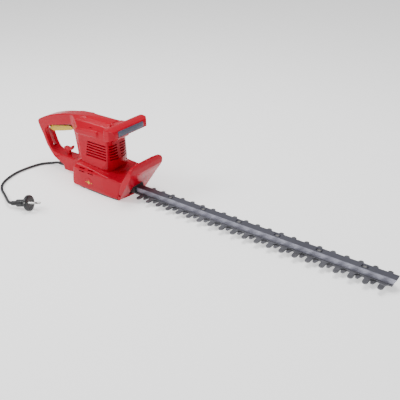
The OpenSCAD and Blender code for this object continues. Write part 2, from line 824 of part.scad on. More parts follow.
module cord_clamp_screws() {
    color(steel) for (s = [-1, 1]) translate([clamp_mid_x, s * clamp_screw_y, clamp_high[2]])
        screw(clamp_screw_l, clamp_screw_r, 2.3, 1.8);
}

// Route points with two more between each pair, on a smooth curve
cord_path = let (n = len(cord_route)) concat([for (i = [0 : n - 2]) for (t = [0 : 2])
    smooth(cord_route[max(i - 1, 0)], cord_route[i], cord_route[i + 1], cord_route[min(i + 2, n - 1)], t / 3)],
    [cord_route[n - 1]]);

module mains_cord() {
    sides = 10;
    n = len(cord_path);
    up = [0, 0, 1];
    points = [for (i = [0 : n - 1])
        let (ahead_of = unit(cord_path[min(i + 1, n - 1)] - cord_path[max(i - 1, 0)]),
            side = unit(cross(ahead_of, up)), top = cross(side, ahead_of))
        for (j = [0 : sides - 1]) let (a = 360 * j / sides)
            cord_path[i] + cord_d / 2 * (cos(a) * side + sin(a) * top)];
    color(black) polyhedron(points, tube_faces(n, sides));
}

// Distances along the plug's own axis, from the cord's end
plug_boot_l = 13;
plug_collar_l = 30;
plug_disc_l = 40;
plug_face_l = 46;
plug_pin_l = 65;
plug_pin_root = 40;
plug_strip_w = 4;
plug_strip_l = 4;

module plug_axis() {
    along(plug_root, plug_heading, plug_pitch) rotate([0, 0, plug_roll]) children();
}

plug_roll = 62;

module plug_body() {
    color(black) plug_axis() difference() {
        turned([[0, 0], [4.6, 0], [5.2, plug_boot_l], [7.6, plug_boot_l + 1], [8, plug_collar_l],
            [6.5, plug_collar_l + 1], [8, plug_disc_l - 5], [plug_disc_r - 1, plug_disc_l],
            [plug_disc_r, plug_disc_l + 0.7], [plug_disc_r, plug_face_l - 1],
            [plug_disc_r - 1.5, plug_face_l], [0, plug_face_l]]);
        for (s = [-1, 1]) translate([s * plug_pin_gap / 2, 0, plug_pin_root])
            cylinder(r = plug_pin_r + running, h = 20);
        for (s = [-1, 1]) plug_strip_pocket(s);
    }
}

// Pocket in the rim for one earth strip, on the side given by s
module plug_strip_pocket(s) {
    depth = 1.4;
    translate([s > 0 ? plug_disc_r - depth : -plug_disc_r - 1, -plug_strip_w / 2 - seat,
        plug_disc_l + 1.2 - seat]) cube([depth + 1, plug_strip_w + 2 * seat, plug_strip_l + 2 * seat]);
}

module plug_pins() {
    color(steel) plug_axis() for (s = [-1, 1]) translate([s * plug_pin_gap / 2, 0, plug_pin_root]) {
        cylinder(r = plug_pin_r, h = plug_pin_l - plug_pin_root - plug_pin_r);
        translate([0, 0, plug_pin_l - plug_pin_root - plug_pin_r]) sphere(r = plug_pin_r);
    }
}

module plug_earth_strips() {
    color(steel) plug_axis() for (s = [-1, 1])
        translate([s > 0 ? plug_disc_r - 1.3 : 0.3 - plug_disc_r, -plug_strip_w / 2, plug_disc_l + 1.2])
            cube([1, plug_strip_w, plug_strip_l]);
}

// ---- Blade ----

bracket_half_w = 16;
bracket_rear_x = 63;
bracket_front_x = 90;
bracket_top = 27;

module blade_bracket() {
    color(black) difference() {
        slab([[bracket_rear_x, rail_z], [bracket_rear_x, bracket_top], [bracket_front_x - 4, bracket_top],
            [bracket_front_x, bracket_top - 5], [bracket_front_x, rail_z]], bracket_half_w);
        block([0, -rail_w / 2 - seat, 0], [200, rail_w / 2 + seat, rail_top + seat]);
    }
}

module blade_rail() {
    color(alloy) difference() {
        slab([[rail_rear_x, rail_z], [rail_rear_x, rail_top], [rail_end_x, rail_top],
            [rail_end_x - 5, rail_z]], rail_w / 2);
        for (x = blade_screw_xs) {
            translate([x, 0, 0]) cylinder(r = blade_hole_r, h = 60);
            block([x - nut_pocket_l / 2, -nut_across / 2 - seat, rail_top - nut_h - 0.6],
                [x + nut_pocket_l / 2, nut_across / 2 + seat, rail_top + 1]);
        }
        block([rail_rear_x - 1, -rail_w / 2 + 2.5, rail_z - 1], [rail_end_x + 1, rail_w / 2 - 2.5, rail_z + 4]);
    }
}

rail_rear_x = 54;

// Half outline of one comb tooth, from its rear root round the tip to its front root
comb_tooth = let (r = comb_tooth_w / 2, body = comb_body_half) concat(
    [[-r - 4, body], [-r - 1.2, body + 2], [-r, body + 6]],
    [for (a = [180 : -30 : 0]) [r * cos(a), comb_reach - r + r * sin(a)]],
    [[r, body + 6], [r + 1.2, body + 2], [r + 4, body]]);

module comb_blade() {
    outline = concat([[comb_rear_x, fixing_y + 5], [fixing_x + 5, fixing_y + 5],
        [fixing_x + 5, comb_body_half]],
        [for (i = [0 : tooth_count - 1]) for (p = comb_tooth) [first_tooth_x + i * tooth_pitch + p[0], p[1]]],
        [[comb_end_x, comb_body_half]]);
    color(steel) translate([0, 0, comb_z]) difference() {
        linear_extrude(comb_t) polygon(both_flanks(outline));
        for (x = blade_screw_xs) translate([x, 0, -1]) cylinder(r = blade_hole_r, h = comb_t + 2);
        for (s = [-1, 1]) translate([fixing_x, s * fixing_y, -1])
            cylinder(r = fixing_r + running, h = comb_t + 2);
    }
}

// Half outline of one cutter tooth
cutter_tooth = [[-5.5, cutter_body_half], [-2.8, cutter_reach - 1], [-1.8, cutter_reach],
    [1.8, cutter_reach], [2.8, cutter_reach - 1], [5.5, cutter_body_half]];

module cutter_blade() {
    slot_half = stroke / 2 + spacer_r + 0.5;
    yoke_front_x = gear_x + yoke_half_l;
    outline = concat([[gear_x - yoke_half_l, yoke_half_w], [yoke_front_x, yoke_half_w],
        [yoke_front_x, cutter_body_half]],
        [for (i = [0 : tooth_count - 2]) for (p = cutter_tooth)
            [first_tooth_x + (i + 0.5) * tooth_pitch + p[0], p[1]]],
        [[cutter_end_x, cutter_body_half]]);
    color(steel) translate([rest_shift, 0, cutter_z]) difference() {
        linear_extrude(cutter_t) polygon(both_flanks(outline));
        block([gear_x - crank_r - 0.2, -crank_throw - crank_r - 0.5, -1],
            [gear_x + crank_r + 0.2, crank_throw + crank_r + 0.5, cutter_t + 1]);
        for (x = blade_screw_xs) block([x - slot_half, -spacer_r - seat, -1],
            [x + slot_half, spacer_r + seat, cutter_t + 1]);
    }
}

module blade_screws() {
    color(steel) for (x = blade_screw_xs) translate([x, 0, cutter_z - running]) mirror([0, 0, 1])
        screw(rail_top - 0.8 - cutter_z, blade_screw_r, blade_head_r, blade_head_h);
}

module blade_spacers() {
    color(steel) for (x = blade_screw_xs) translate([x, 0, cutter_z - running]) difference() {
        cylinder(r = spacer_r, h = cutter_t + 2 * running);
        translate([0, 0, -1]) cylinder(r = blade_hole_r, h = 9);
    }
}

module blade_nuts() {
    color(steel) for (x = blade_screw_xs) translate([x, 0, rail_top - nut_h - 0.6]) difference() {
        cylinder(r = nut_across / 2 / cos(30), h = nut_h, $fn = 6);
        translate([0, 0, -1]) cylinder(r = blade_screw_r + running, h = 9);
    }
}

module comb_fixing_screws() {
    color(steel) for (s = [-1, 1]) translate([fixing_x, s * fixing_y, plate_z + plate_t])
        screw(plate_z + plate_t - comb_z, fixing_r, 3.4, 2);
}

// ---- Gearbox ----

module gear_plate() {
    plan = both_flanks([[plate_rear_x, 37.5], [52, 37.5], [52, fixing_y + 6], [plate_front_x, fixing_y + 6]]);
    color(alloy) difference() {
        union() {
            translate([0, 0, plate_z]) linear_extrude(plate_t) polygon(plan);
            translate([motor_x, 0, plate_z])
                cylinder(r = lower_bearing_r + bearing_seat_wall, h = 2 + lower_bearing_h);
            translate([gear_x, 0, plate_z]) cylinder(r = axle_r + 4, h = 9);
            for (s = [-1, 1]) translate([fixing_x, s * fixing_y, rail_z])
                cylinder(r = 4.5, h = plate_z - rail_z + 1);
        }
        translate([motor_x, 0, lower_bearing_z]) cylinder(r = lower_bearing_r + running, h = 20);
        translate([motor_x, 0, 0]) cylinder(r = lower_bearing_r - 2, h = 60);
        translate([gear_x, 0, 0]) cylinder(r = axle_r + eps, h = 60);
        for (s = [-1, 1]) translate([fixing_x, s * fixing_y, 0]) cylinder(r = fixing_r + seat, h = 60);
        for (at = plate_screw_at) translate([at[0], at[1], 0]) cylinder(r = shell_screw_r + seat, h = 60);
    }
}

module gear_plate_screws() {
    color(steel) for (at = plate_screw_at) translate([at[0], at[1], plate_z]) mirror([0, 0, 1])
        screw(plate_screw_l, shell_screw_r, shell_head_r, 2.4);
}

module drive_gear() {
    color(steel) difference() {
        union() {
            translate([gear_x, 0, gear_z]) linear_extrude(gear_face)
                polygon(gear_points(gear_teeth, 0.82, 0.4));
            translate([gear_x, 0, gear_z]) cylinder(r = axle_r + 4, h = gear_face + 1.5);
            translate([gear_x + rest_shift, sqrt(crank_throw * crank_throw - rest_shift * rest_shift),
                cutter_z + cutter_t + crank_gap])
                cylinder(r = crank_r, h = gear_z - cutter_z - cutter_t - crank_gap + 1);
        }
        translate([gear_x, 0, 0]) cylinder(r = axle_r + running, h = 60);
    }
}

module gear_axle() {
    color(steel) translate([gear_x, 0, 0]) difference() {
        translate([0, 0, axle_bottom]) cylinder(r = axle_r, h = plate_z + 9 - axle_bottom);
        translate([0, 0, ring_z]) difference() {
            cylinder(r = axle_r + 1, h = ring_t);
            translate([0, 0, -1]) cylinder(r = axle_r - 0.8, h = 9);
        }
    }
}

axle_bottom = 12.4;
ring_t = 1;
ring_z = gear_z - 0.4 - ring_t;

module axle_ring() {
    color(steel) translate([gear_x, 0, ring_z]) difference() {
        cylinder(r = axle_r + 2, h = ring_t - running);
        translate([0, 0, -1]) cylinder(r = axle_r - 0.8 + running, h = 9);
        translate([0, -1.5, -1]) cube([20, 3, 9]);
    }
}

// ---- Motor ----

module motor_shaft() {
    color(steel) translate([motor_x, 0, 0]) {
        translate([0, 0, shaft_bottom]) cylinder(r = shaft_r - 1, h = 20);
        translate([0, 0, plate_z + 0.5]) cylinder(r = shaft_r, h = shaft_top - plate_z - 0.5);
    }
}

module pinion() {
    color(steel) translate([motor_x, 0, gear_z - 0.5]) difference() {
        linear_extrude(gear_face + 1) rotate(180 / pinion_teeth)
            polygon(gear_points(pinion_teeth, 0.86, 0.36));
        translate([0, 0, -1]) cylinder(r = shaft_r - 1, h = 60);
    }
}

module fan() {
    blades = 12;
    color(black) translate([motor_x, 0, fan_z]) difference() {
        union() {
            cylinder(r = 9, h = fan_h);
            cylinder(r = stator_r, h = 1.6);
            for (i = [0 : blades - 1]) rotate([0, 0, 360 * i / blades + 8])
                translate([8, -0.8, 0]) cube([stator_r - 9, 1.6, fan_h]);
        }
        translate([0, 0, -1]) cylinder(r = shaft_r, h = 60);
    }
}

module armature_core() {
    slots = 12;
    color(steel) translate([motor_x, 0, stator_z]) difference() {
        cylinder(r = armature_r, h = stator_h);
        translate([0, 0, -1]) cylinder(r = shaft_r, h = 90);
        for (i = [0 : slots - 1]) rotate([0, 0, 360 * i / slots])
            translate([armature_r - 4, -0.8, -1]) cube([9, 1.6, 90]);
    }
}

module armature_windings() {
    color(copper) for (z = [stator_z - winding_h, stator_z + stator_h]) translate([motor_x, 0, z])
        difference() {
            cylinder(r = armature_r - 2, h = winding_h);
            translate([0, 0, -1]) cylinder(r = shaft_r, h = 90);
        }
}

module commutator() {
    bars = 24;
    color(copper) translate([motor_x, 0, commutator_z]) difference() {
        cylinder(r = commutator_r, h = commutator_h);
        translate([0, 0, -1]) cylinder(r = shaft_r, h = 90);
        for (i = [0 : bars - 1]) rotate([0, 0, 360 * i / bars])
            translate([commutator_r - 0.8, -0.2, 1]) cube([9, 0.4, 90]);
    }
}

module bearing(outer, inner, h) {
    difference() {
        cylinder(r = outer, h = h);
        translate([0, 0, -1]) cylinder(r = inner, h = h + 2);
        for (z = [-0.5, h - 0.5]) translate([0, 0, z]) difference() {
            cylinder(r = outer - 2, h = 1);
            translate([0, 0, -1]) cylinder(r = inner + 2, h = 3);
        }
    }
}

module lower_bearing() {
    color(steel) translate([motor_x, 0, lower_bearing_z])
        bearing(lower_bearing_r, shaft_r + running, lower_bearing_h);
}

module upper_bearing() {
    color(steel) translate([motor_x, 0, upper_bearing_z])
        bearing(upper_bearing_r, shaft_r + running, upper_bearing_h);
}

module stator_core() {
    color(steel) translate([motor_x, 0, stator_z]) difference() {
        cylinder(r = stator_r, h = stator_h);
        translate([0, 0, -1]) cylinder(r = stator_bore_r, h = stator_h + 2);
        for (s = [-1, 1]) translate([s * (stator_r - 6), 0, stator_h / 2])
            cube([3, 18, stator_h + 2], center = true);
    }
}

module field_coils() {
    color(copper) for (z = [stator_z - winding_h, stator_z + stator_h]) translate([motor_x, 0, z])
        for (s = [-1, 1]) intersection() {
            difference() {
                cylinder(r = stator_r - 1.5, h = winding_h);
                translate([0, 0, -1]) cylinder(r = stator_bore_r, h = winding_h + 2);
            }
            block([s > 0 ? 4 : -40, -40, -1], [s > 0 ? 40 : -4, 40, 30]);
        }
}

brush_w = 5;
brush_h = 8;
brush_inner = commutator_r + 0.2;
brush_l = 7;
holder_inner = commutator_r + 1.5;
holder_outer = motor_bay_r - 1;

// A box along the brushes' axis on side s, from y0 to y1
module brush_box(s, y0, y1, w, h) {
    translate([motor_x - w / 2, s > 0 ? y0 : -y1, brush_z - h / 2]) cube([w, y1 - y0, h]);
}

module brush_holders() {
    color(brass) for (s = [-1, 1]) difference() {
        brush_box(s, holder_inner, holder_outer, brush_w + 2.4, brush_h + 2.4);
        brush_box(s, holder_inner - 1, holder_outer - 1.2, brush_w + 2 * seat, brush_h + 2 * seat);
    }
}

module carbon_brushes() {
    color(black) for (s = [-1, 1]) brush_box(s, brush_inner, brush_inner + brush_l, brush_w, brush_h);
}

module brush_springs() {
    l = holder_outer - 1.2 - brush_inner - brush_l - 2 * seat;
    color(steel) for (s = [-1, 1])
        translate([motor_x, s * (brush_inner + brush_l + seat), brush_z]) rotate([s > 0 ? -90 : 90, 0, 0])
            coil(1.9, 0.3, l, 4);
}

module suppressor_capacitor() {
    color(yellow) translate(capacitor_foot) cylinder(r = capacitor_r, h = 18);
}

housing_left();
housing_right();
gear_housing();
base_cover();
hand_guard();
front_handle_upper();
front_handle_lower();
front_switch_bar();
front_switch();
front_switch_plunger();
front_bar_springs();
rear_trigger();
trigger_pin();
trigger_spring();
rear_switch();
rear_switch_plunger();
cord_hook();
strain_relief();
cord_clamp();
cord_clamp_screws();
mains_cord();
plug_body();
plug_pins();
plug_earth_strips();
blade_bracket();
blade_rail();
comb_blade();
cutter_blade();
blade_screws();
blade_spacers();
blade_nuts();
comb_fixing_screws();
gear_plate();
gear_plate_screws();
drive_gear();
gear_axle();
axle_ring();
motor_shaft();
pinion();
fan();
armature_core();
armature_windings();
commutator();
lower_bearing();
upper_bearing();
stator_core();
field_coils();
brush_holders();
carbon_brushes();
brush_springs();
suppressor_capacitor();
housing_screws();
tower_screws();
base_screws();
guard_screws();
handle_screws();
badge();
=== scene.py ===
import json
import math
import bpy
from mathutils import Matrix, Vector


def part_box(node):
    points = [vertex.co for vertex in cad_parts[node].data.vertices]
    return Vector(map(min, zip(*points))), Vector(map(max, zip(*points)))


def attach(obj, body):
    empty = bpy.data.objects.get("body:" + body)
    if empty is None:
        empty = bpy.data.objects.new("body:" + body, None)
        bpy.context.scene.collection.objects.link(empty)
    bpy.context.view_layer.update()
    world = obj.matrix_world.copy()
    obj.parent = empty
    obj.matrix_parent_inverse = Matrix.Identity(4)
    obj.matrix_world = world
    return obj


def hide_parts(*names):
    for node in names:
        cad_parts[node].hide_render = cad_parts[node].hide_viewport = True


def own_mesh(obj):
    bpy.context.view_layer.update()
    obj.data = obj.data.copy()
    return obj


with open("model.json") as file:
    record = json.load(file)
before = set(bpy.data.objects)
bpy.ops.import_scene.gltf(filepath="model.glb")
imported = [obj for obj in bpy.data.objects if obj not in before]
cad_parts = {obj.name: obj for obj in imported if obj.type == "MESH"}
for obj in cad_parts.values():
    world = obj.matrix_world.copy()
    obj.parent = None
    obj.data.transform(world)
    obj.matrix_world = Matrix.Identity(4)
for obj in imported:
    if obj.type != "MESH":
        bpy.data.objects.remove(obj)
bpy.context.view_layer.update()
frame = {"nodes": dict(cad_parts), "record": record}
print("stage: frame loaded,", len(frame["nodes"]), "nodes")


pastSides = 60  # mm from the middle plane, beyond the sides of the housings
bladeSlot = ((50, -16.3, 4.6), (130, 16.3, 27.3))  # the blade bracket's way through housing and guard


# small helpers used by every piece

def metres(*values):
    return tuple(value / 1000 for value in values)


def deselectAll():
    if bpy.context.object and bpy.context.object.mode != "OBJECT":
        bpy.ops.object.mode_set(mode="OBJECT")
    bpy.ops.object.select_all(action="DESELECT")


def pick(piece):
    deselectAll()
    piece.select_set(True)
    bpy.context.view_layer.objects.active = piece
    return piece


def applyModifier(piece, kind, **settings):
    pick(piece)
    modifier = piece.modifiers.new(kind.lower(), kind)
    for key, value in settings.items():
        setattr(modifier, key, value)
    bpy.ops.object.modifier_apply(modifier=modifier.name)
    return piece


def settle(piece, name):  # the piece's place goes into its mesh
    pick(piece)
    bpy.ops.object.transform_apply(location=True, rotation=True, scale=True)
    piece.name = name
    piece.data.name = name
    return piece


def tidyMesh(piece, merge=1e-6):
    pick(piece)
    bpy.ops.object.mode_set(mode="EDIT")
    bpy.ops.mesh.select_all(action="SELECT")
    bpy.ops.mesh.remove_doubles(threshold=merge)
    bpy.ops.mesh.normals_make_consistent(inside=False)
    bpy.ops.object.mode_set(mode="OBJECT")
    return piece


def cut(piece, cutter, operation="DIFFERENCE"):
    applyModifier(piece, "BOOLEAN", object=cutter, operation=operation, solver="MANIFOLD")
    bpy.data.objects.remove(cutter, do_unlink=True)
    return piece


def prism(outline, direction, low, high):  # an outline in mm, pulled out along one axis
    deselectAll()
    bpy.ops.mesh.primitive_circle_add(vertices=len(outline), radius=1, fill_type="NGON")
    piece = bpy.context.object
    for vertex, (u, v) in zip(piece.data.vertices, outline):
        point = {"x": (low, u, v), "y": (u, low, v), "z": (u, v, low)}[direction]
        vertex.co = metres(*point)
    step = metres(*[high - low if axis == direction else 0 for axis in "xyz"])
    bpy.ops.object.mode_set(mode="EDIT")
    bpy.ops.mesh.select_all(action="SELECT")
    bpy.ops.mesh.extrude_region_move(TRANSFORM_OT_translate={"value": step})
    bpy.ops.mesh.select_all(action="SELECT")
    bpy.ops.mesh.normals_make_consistent(inside=False)
    bpy.ops.object.mode_set(mode="OBJECT")
    return piece


def block(low, high):  # a box between two corners in mm
    deselectAll()
    centre = metres(*[(a + b) / 2 for a, b in zip(low, high)])
    size = metres(*[b - a for a, b in zip(low, high)])
    bpy.ops.mesh.primitive_cube_add(size=1, location=centre, scale=size)
    return settle(bpy.context.object, "block")


def rod(start, end, radius, sides=48):  # a round bar between two points in mm
    deselectAll()
    a, b = Vector(metres(*start)), Vector(metres(*end))
    turn = (b - a).to_track_quat("Z", "Y").to_euler()
    bpy.ops.mesh.primitive_cylinder_add(vertices=sides, radius=radius / 1000, depth=(b - a).length,
                                        location=(a + b) / 2, rotation=turn)
    return settle(bpy.context.object, "rod")


def rounded(outline, steps=4, closed=True):  # a smooth line through the outline's points
    count = len(outline)
    line = []
    for i in range(count if closed else count - 1):
        places = [i + k if closed else min(max(i + k, 0), count - 1) for k in (-1, 0, 1, 2)]
        a, b, c, d = [Vector(outline[place % count]) for place in places]
        for k in range(steps):
            t = k / steps
            point = 0.5 * (2 * b + (c - a) * t + (2 * a - 5 * b + 4 * c - d) * t * t
                           + (3 * b - a - 3 * c + d) * t ** 3)
            line.append(tuple(point))
    return line


def mirrored(half):  # a half outline and its mirror image, for (x, half width)
    return half + [(x, -y) for x, y in reversed(half)]


def mirroredFront(half):  # the same, for (half width, z)
    return half + [(-y, z) for y, z in reversed(half)]


def soften(piece, voxel, rounds, factor=0.5):  # rounds every edge of a closed solid
    applyModifier(piece, "REMESH", mode="VOXEL", voxel_size=voxel / 1000)
    applyModifier(piece, "SMOOTH", factor=factor, iterations=rounds)
    return piece


def smoothShade(piece, degrees=35, weighted=False):
    pick(piece)
    bpy.ops.object.shade_smooth_by_angle(angle=math.radians(degrees))
    if weighted:  # keeps the wide flat faces flat between their small bevels
        applyModifier(piece, "WEIGHTED_NORMAL", keep_sharp=True, weight=80)
    return piece


def copyOf(node, name):  # an editable copy of a CAD node, with its loose triangles joined
    source = frame["nodes"][node]
    piece = bpy.data.objects.new(name, source.data.copy())
    bpy.context.scene.collection.objects.link(piece)
    piece.data.materials.clear()
    pick(piece)
    bpy.ops.object.mode_set(mode="EDIT")
    bpy.ops.mesh.select_all(action="SELECT")
    bpy.ops.mesh.remove_doubles(threshold=2e-6)
    bpy.ops.mesh.dissolve_limited(angle_limit=math.radians(1))
    bpy.ops.object.mode_set(mode="OBJECT")
    return piece


def bevelled(piece, width, segments=2, degrees=30):
    return applyModifier(piece, "BEVEL", width=width / 1000, segments=segments, limit_method="ANGLE",
                         angle_limit=math.radians(degrees), harden_normals=False)


def finishPiece(piece, name, material, body, slot, *nodes):
    settle(piece, name)
    piece.data.materials.clear()
    piece.data.materials.append(material)
    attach(piece, body)
    if nodes:
        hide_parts(*nodes)
    return piece


# camera

cameraLook = {"place": (0.82766, -0.79732, 0.58166), "forward": (-0.51186, 0.7112, -0.48187), "lens": 50,
              "sensor": 36, "reach": 20}
bpy.ops.object.camera_add(location=cameraLook["place"])
camera = bpy.context.object
camera.name = "studioCamera"
camera.data.lens = cameraLook["lens"]
camera.data.sensor_width = cameraLook["sensor"]
camera.data.clip_end = cameraLook["reach"]
camera.rotation_euler = Vector(cameraLook["forward"]).to_track_quat("-Z", "Y").to_euler()
bpy.context.scene.camera = camera


# materials

def newMaterial(name):
    material = bpy.data.materials.new(name)
    material.use_nodes = True
    tree = material.node_tree
    return material, tree, tree.nodes["Principled BSDF"]


def addNode(tree, kind, inputs=None, **settings):
    node = tree.nodes.new(kind)
    for key, value in settings.items():
        setattr(node, key, value)
    for key, value in (inputs or {}).items():
        if isinstance(value, bpy.types.NodeSocket):
            tree.links.new(value, node.inputs[key])
        else:
            node.inputs[key].default_value = value
    return node


def mixColour(tree, factor, first, second):
    node = addNode(tree, "ShaderNodeMix", {"Factor": factor}, data_type="RGBA")
    for socket, value in ((node.inputs[6], first), (node.inputs[7], second)):
        if isinstance(value, bpy.types.NodeSocket):
            tree.links.new(value, socket)
        else:
            socket.default_value = (*value, 1)
    return node.outputs[2]


def rangeOf(tree, value, low, high, fromLow=0.0, fromHigh=1.0):
    return addNode(tree, "ShaderNodeMapRange", {"Value": value, "From Min": fromLow, "From Max": fromHigh,
                                               "To Min": low, "To Max": high}).outputs["Result"]


def noise(tree, place, scale, detail=3.0, rough=0.5):
    return addNode(tree, "ShaderNodeTexNoise",
                   {"Vector": place, "Scale": scale, "Detail": detail, "Roughness": rough}).outputs["Fac"]


def stretched(tree, place, scale):  # a pattern drawn out along the axes with small numbers
    return addNode(tree, "ShaderNodeMapping", {"Vector": place, "Scale": scale}).outputs["Vector"]


def mouldedPlastic(name, look):
    material, tree, shader = newMaterial(name)
    place = addNode(tree, "ShaderNodeTexCoord").outputs["Object"]
    cloud = noise(tree, place, look["cloudScale"], 4)
    flow = noise(tree, stretched(tree, place, (0.6, 1.6, 1.6)), look["cloudScale"] * 3, 3)
    grain = noise(tree, place, look["grainScale"], 2)
    fine = noise(tree, stretched(tree, place, look["scuffRun"]), look["scuffScale"], 6, 0.65)
    scuff = rangeOf(tree, fine, 0, 1, 0.62, 0.74)
    base = mixColour(tree, rangeOf(tree, cloud, 0, 1, 0.3, 0.7), look["colour"], look["shade"])
    edge = addNode(tree, "ShaderNodeNewGeometry").outputs["Pointiness"]
    worn = rangeOf(tree, edge, 0, look["edgeWear"], 0.52, 0.6)
    base = mixColour(tree, worn, base, look["worn"])
    scuffed = addNode(tree, "ShaderNodeMath", {0: scuff, 1: look["scuff"]}, operation="MULTIPLY").outputs[0]
    base = mixColour(tree, scuffed, base, look["worn"])
    rough = rangeOf(tree, flow, look["rough"][0], look["rough"][1], 0.3, 0.7)
    rougher = addNode(tree, "ShaderNodeMath", {0: rough, 1: scuffed}, operation="ADD").outputs[0]
    bump = addNode(tree, "ShaderNodeBump", {"Height": grain, "Strength": look["bump"], "Distance": 0.0004})
    tree.links.new(base, shader.inputs["Base Color"])
    tree.links.new(rougher, shader.inputs["Roughness"])
    tree.links.new(bump.outputs["Normal"], shader.inputs["Normal"])
    shader.inputs["Specular IOR Level"].default_value = look["gloss"]
    shader.inputs["Coat Weight"].default_value = look["coat"]
    shader.inputs["Coat Roughness"].default_value = 0.14
    return material


def metalFinish(name, look):
    material, tree, shader = newMaterial(name)
    place = addNode(tree, "ShaderNodeTexCoord").outputs["Object"]
    brushed = noise(tree, stretched(tree, place, look["brushRun"]), look["brushScale"], 4, 0.6)
    cloud = noise(tree, place, look["cloudScale"], 4)
    grime = rangeOf(tree, noise(tree, place, look["cloudScale"] * 4, 6, 0.7), 0, look["grime"], 0.5, 0.75)
    base = mixColour(tree, rangeOf(tree, cloud, 0, 1, 0.35, 0.7), look["colour"], look["shade"])
    base = mixColour(tree, grime, base, look["dirt"])
    rubbed = noise(tree, stretched(tree, place, look["brushRun"]), look["brushScale"] / 6, 5, 0.7)
    base = mixColour(tree, rangeOf(tree, rubbed, 0, look["rub"], 0.6, 0.85), base, look["bright"])
    rough = rangeOf(tree, brushed, look["rough"][0], look["rough"][1], 0.3, 0.7)
    bump = addNode(tree, "ShaderNodeBump", {"Height": brushed, "Strength": look["bump"], "Distance": 0.0003})
    tree.links.new(base, shader.inputs["Base Color"])
    tree.links.new(rough, shader.inputs["Roughness"])
    tree.links.new(bump.outputs["Normal"], shader.inputs["Normal"])
    shader.inputs["Metallic"].default_value = look["metal"]
    return material


redLook = {"colour": (0.45, 0.001, 0.017), "shade": (0.38, 0.001, 0.014), "worn": (0.6, 0.04, 0.06),
           "cloudScale": 9, "grainScale": 2600, "scuffScale": 60, "scuffRun": (1, 3, 9), "scuff": 0.08,
           "rough": (0.17, 0.25), "bump": 0.12, "edgeWear": 0.3, "coat": 0.06, "gloss": 0.1}
blackLook = {"colour": (0.012, 0.012, 0.014), "shade": (0.022, 0.022, 0.025), "worn": (0.09, 0.09, 0.095),
             "cloudScale": 14, "grainScale": 2200, "scuffScale": 90, "scuffRun": (1, 2, 6), "scuff": 0.2,
             "rough": (0.38, 0.55), "bump": 0.3, "edgeWear": 0.0, "coat": 0.05, "gloss": 0.4}
greyLook = {"colour": (0.085, 0.088, 0.135), "shade": (0.06, 0.062, 0.095), "worn": (0.3, 0.31, 0.36),
            "cloudScale": 16, "grainScale": 2400, "scuffScale": 80, "scuffRun": (1, 5, 1), "scuff": 0.25,
            "rough": (0.34, 0.5), "bump": 0.25, "edgeWear": 0.0, "coat": 0.1, "gloss": 0.4}
yellowLook = {"colour": (0.62, 0.42, 0.01), "shade": (0.54, 0.35, 0.008), "worn": (0.75, 0.58, 0.1),
              "cloudScale": 20, "grainScale": 2400, "scuffScale": 80, "scuffRun": (5, 1, 1),
              "scuff": 0.15, "rough": (0.32, 0.45), "bump": 0.15, "edgeWear": 0.0, "coat": 0.15,
              "gloss": 0.3}
bladeLook = {"colour": (0.15, 0.15, 0.165), "shade": (0.09, 0.09, 0.1), "dirt": (0.06, 0.055, 0.05),
             "bright": (0.6, 0.6, 0.62), "brushScale": 900, "brushRun": (0.08, 1, 1), "cloudScale": 18,
             "grime": 0.35, "rub": 0.8, "rough": (0.38, 0.52), "bump": 0.25, "metal": 0.55}
railLook = {"colour": (0.33, 0.33, 0.4), "shade": (0.26, 0.26, 0.32), "dirt": (0.2, 0.2, 0.22),
            "bright": (0.75, 0.75, 0.78), "brushScale": 1100, "brushRun": (0.03, 1, 1), "cloudScale": 12,
            "grime": 0.18, "rub": 0.5, "rough": (0.3, 0.42), "bump": 0.3, "metal": 0.45}
# a darker copy of the rail finish, used only on the rail's upward faces as painted shade
railTopShadeLook = dict(railLook, colour=(0.1, 0.1, 0.125), shade=(0.075, 0.075, 0.095), bright=(0.3, 0.3, 0.33))
castLook = {"colour": (0.5, 0.5, 0.52), "shade": (0.4, 0.4, 0.42), "dirt": (0.16, 0.16, 0.16),
            "bright": (0.72, 0.72, 0.73), "brushScale": 700, "brushRun": (1, 1, 1), "cloudScale": 25,
            "grime": 0.3, "rub": 0.4, "rough": (0.4, 0.6), "bump": 0.5, "metal": 0.9}
steelLook = {"colour": (0.58, 0.57, 0.55), "shade": (0.5, 0.5, 0.49), "dirt": (0.2, 0.18, 0.16),
             "bright": (0.85, 0.85, 0.84), "brushScale": 1400, "brushRun": (1, 1, 0.1), "cloudScale": 40,
             "grime": 0.2, "rub": 0.5, "rough": (0.2, 0.34), "bump": 0.15, "metal": 1.0}
laminationLook = {"colour": (0.3, 0.3, 0.31), "shade": (0.22, 0.22, 0.23), "dirt": (0.1, 0.08, 0.07),
                  "bright": (0.5, 0.5, 0.5), "brushScale": 1600, "brushRun": (0.02, 0.02, 1),
                  "cloudScale": 30, "grime": 0.3, "rub": 0.3, "rough": (0.35, 0.5), "bump": 0.8,
                  "metal": 0.9}
copperLook = {"colour": (0.6, 0.22, 0.09), "shade": (0.48, 0.15, 0.06), "dirt": (0.2, 0.07, 0.03),
              "bright": (0.8, 0.4, 0.22), "brushScale": 1500, "brushRun": (0.4, 0.4, 1), "cloudScale": 40,
              "grime": 0.2, "rub": 0.4, "rough": (0.22, 0.4), "bump": 0.7, "metal": 0.9}
brassLook = {"colour": (0.66, 0.46, 0.16), "shade": (0.56, 0.38, 0.12), "dirt": (0.25, 0.16, 0.06),
             "bright": (0.85, 0.68, 0.35), "brushScale": 900, "brushRun": (1, 0.1, 1), "cloudScale": 40,
             "grime": 0.2, "rub": 0.5, "rough": (0.25, 0.4), "bump": 0.2, "metal": 1.0}
carbonLook = {"colour": (0.03, 0.03, 0.032), "shade": (0.05, 0.05, 0.052), "dirt": (0.015, 0.015, 0.015),
              "bright": (0.12, 0.12, 0.12), "brushScale": 900, "brushRun": (1, 1, 1), "cloudScale": 60,
              "grime": 0.4, "rub": 0.5, "rough": (0.45, 0.65), "bump": 0.4, "metal": 0.3}
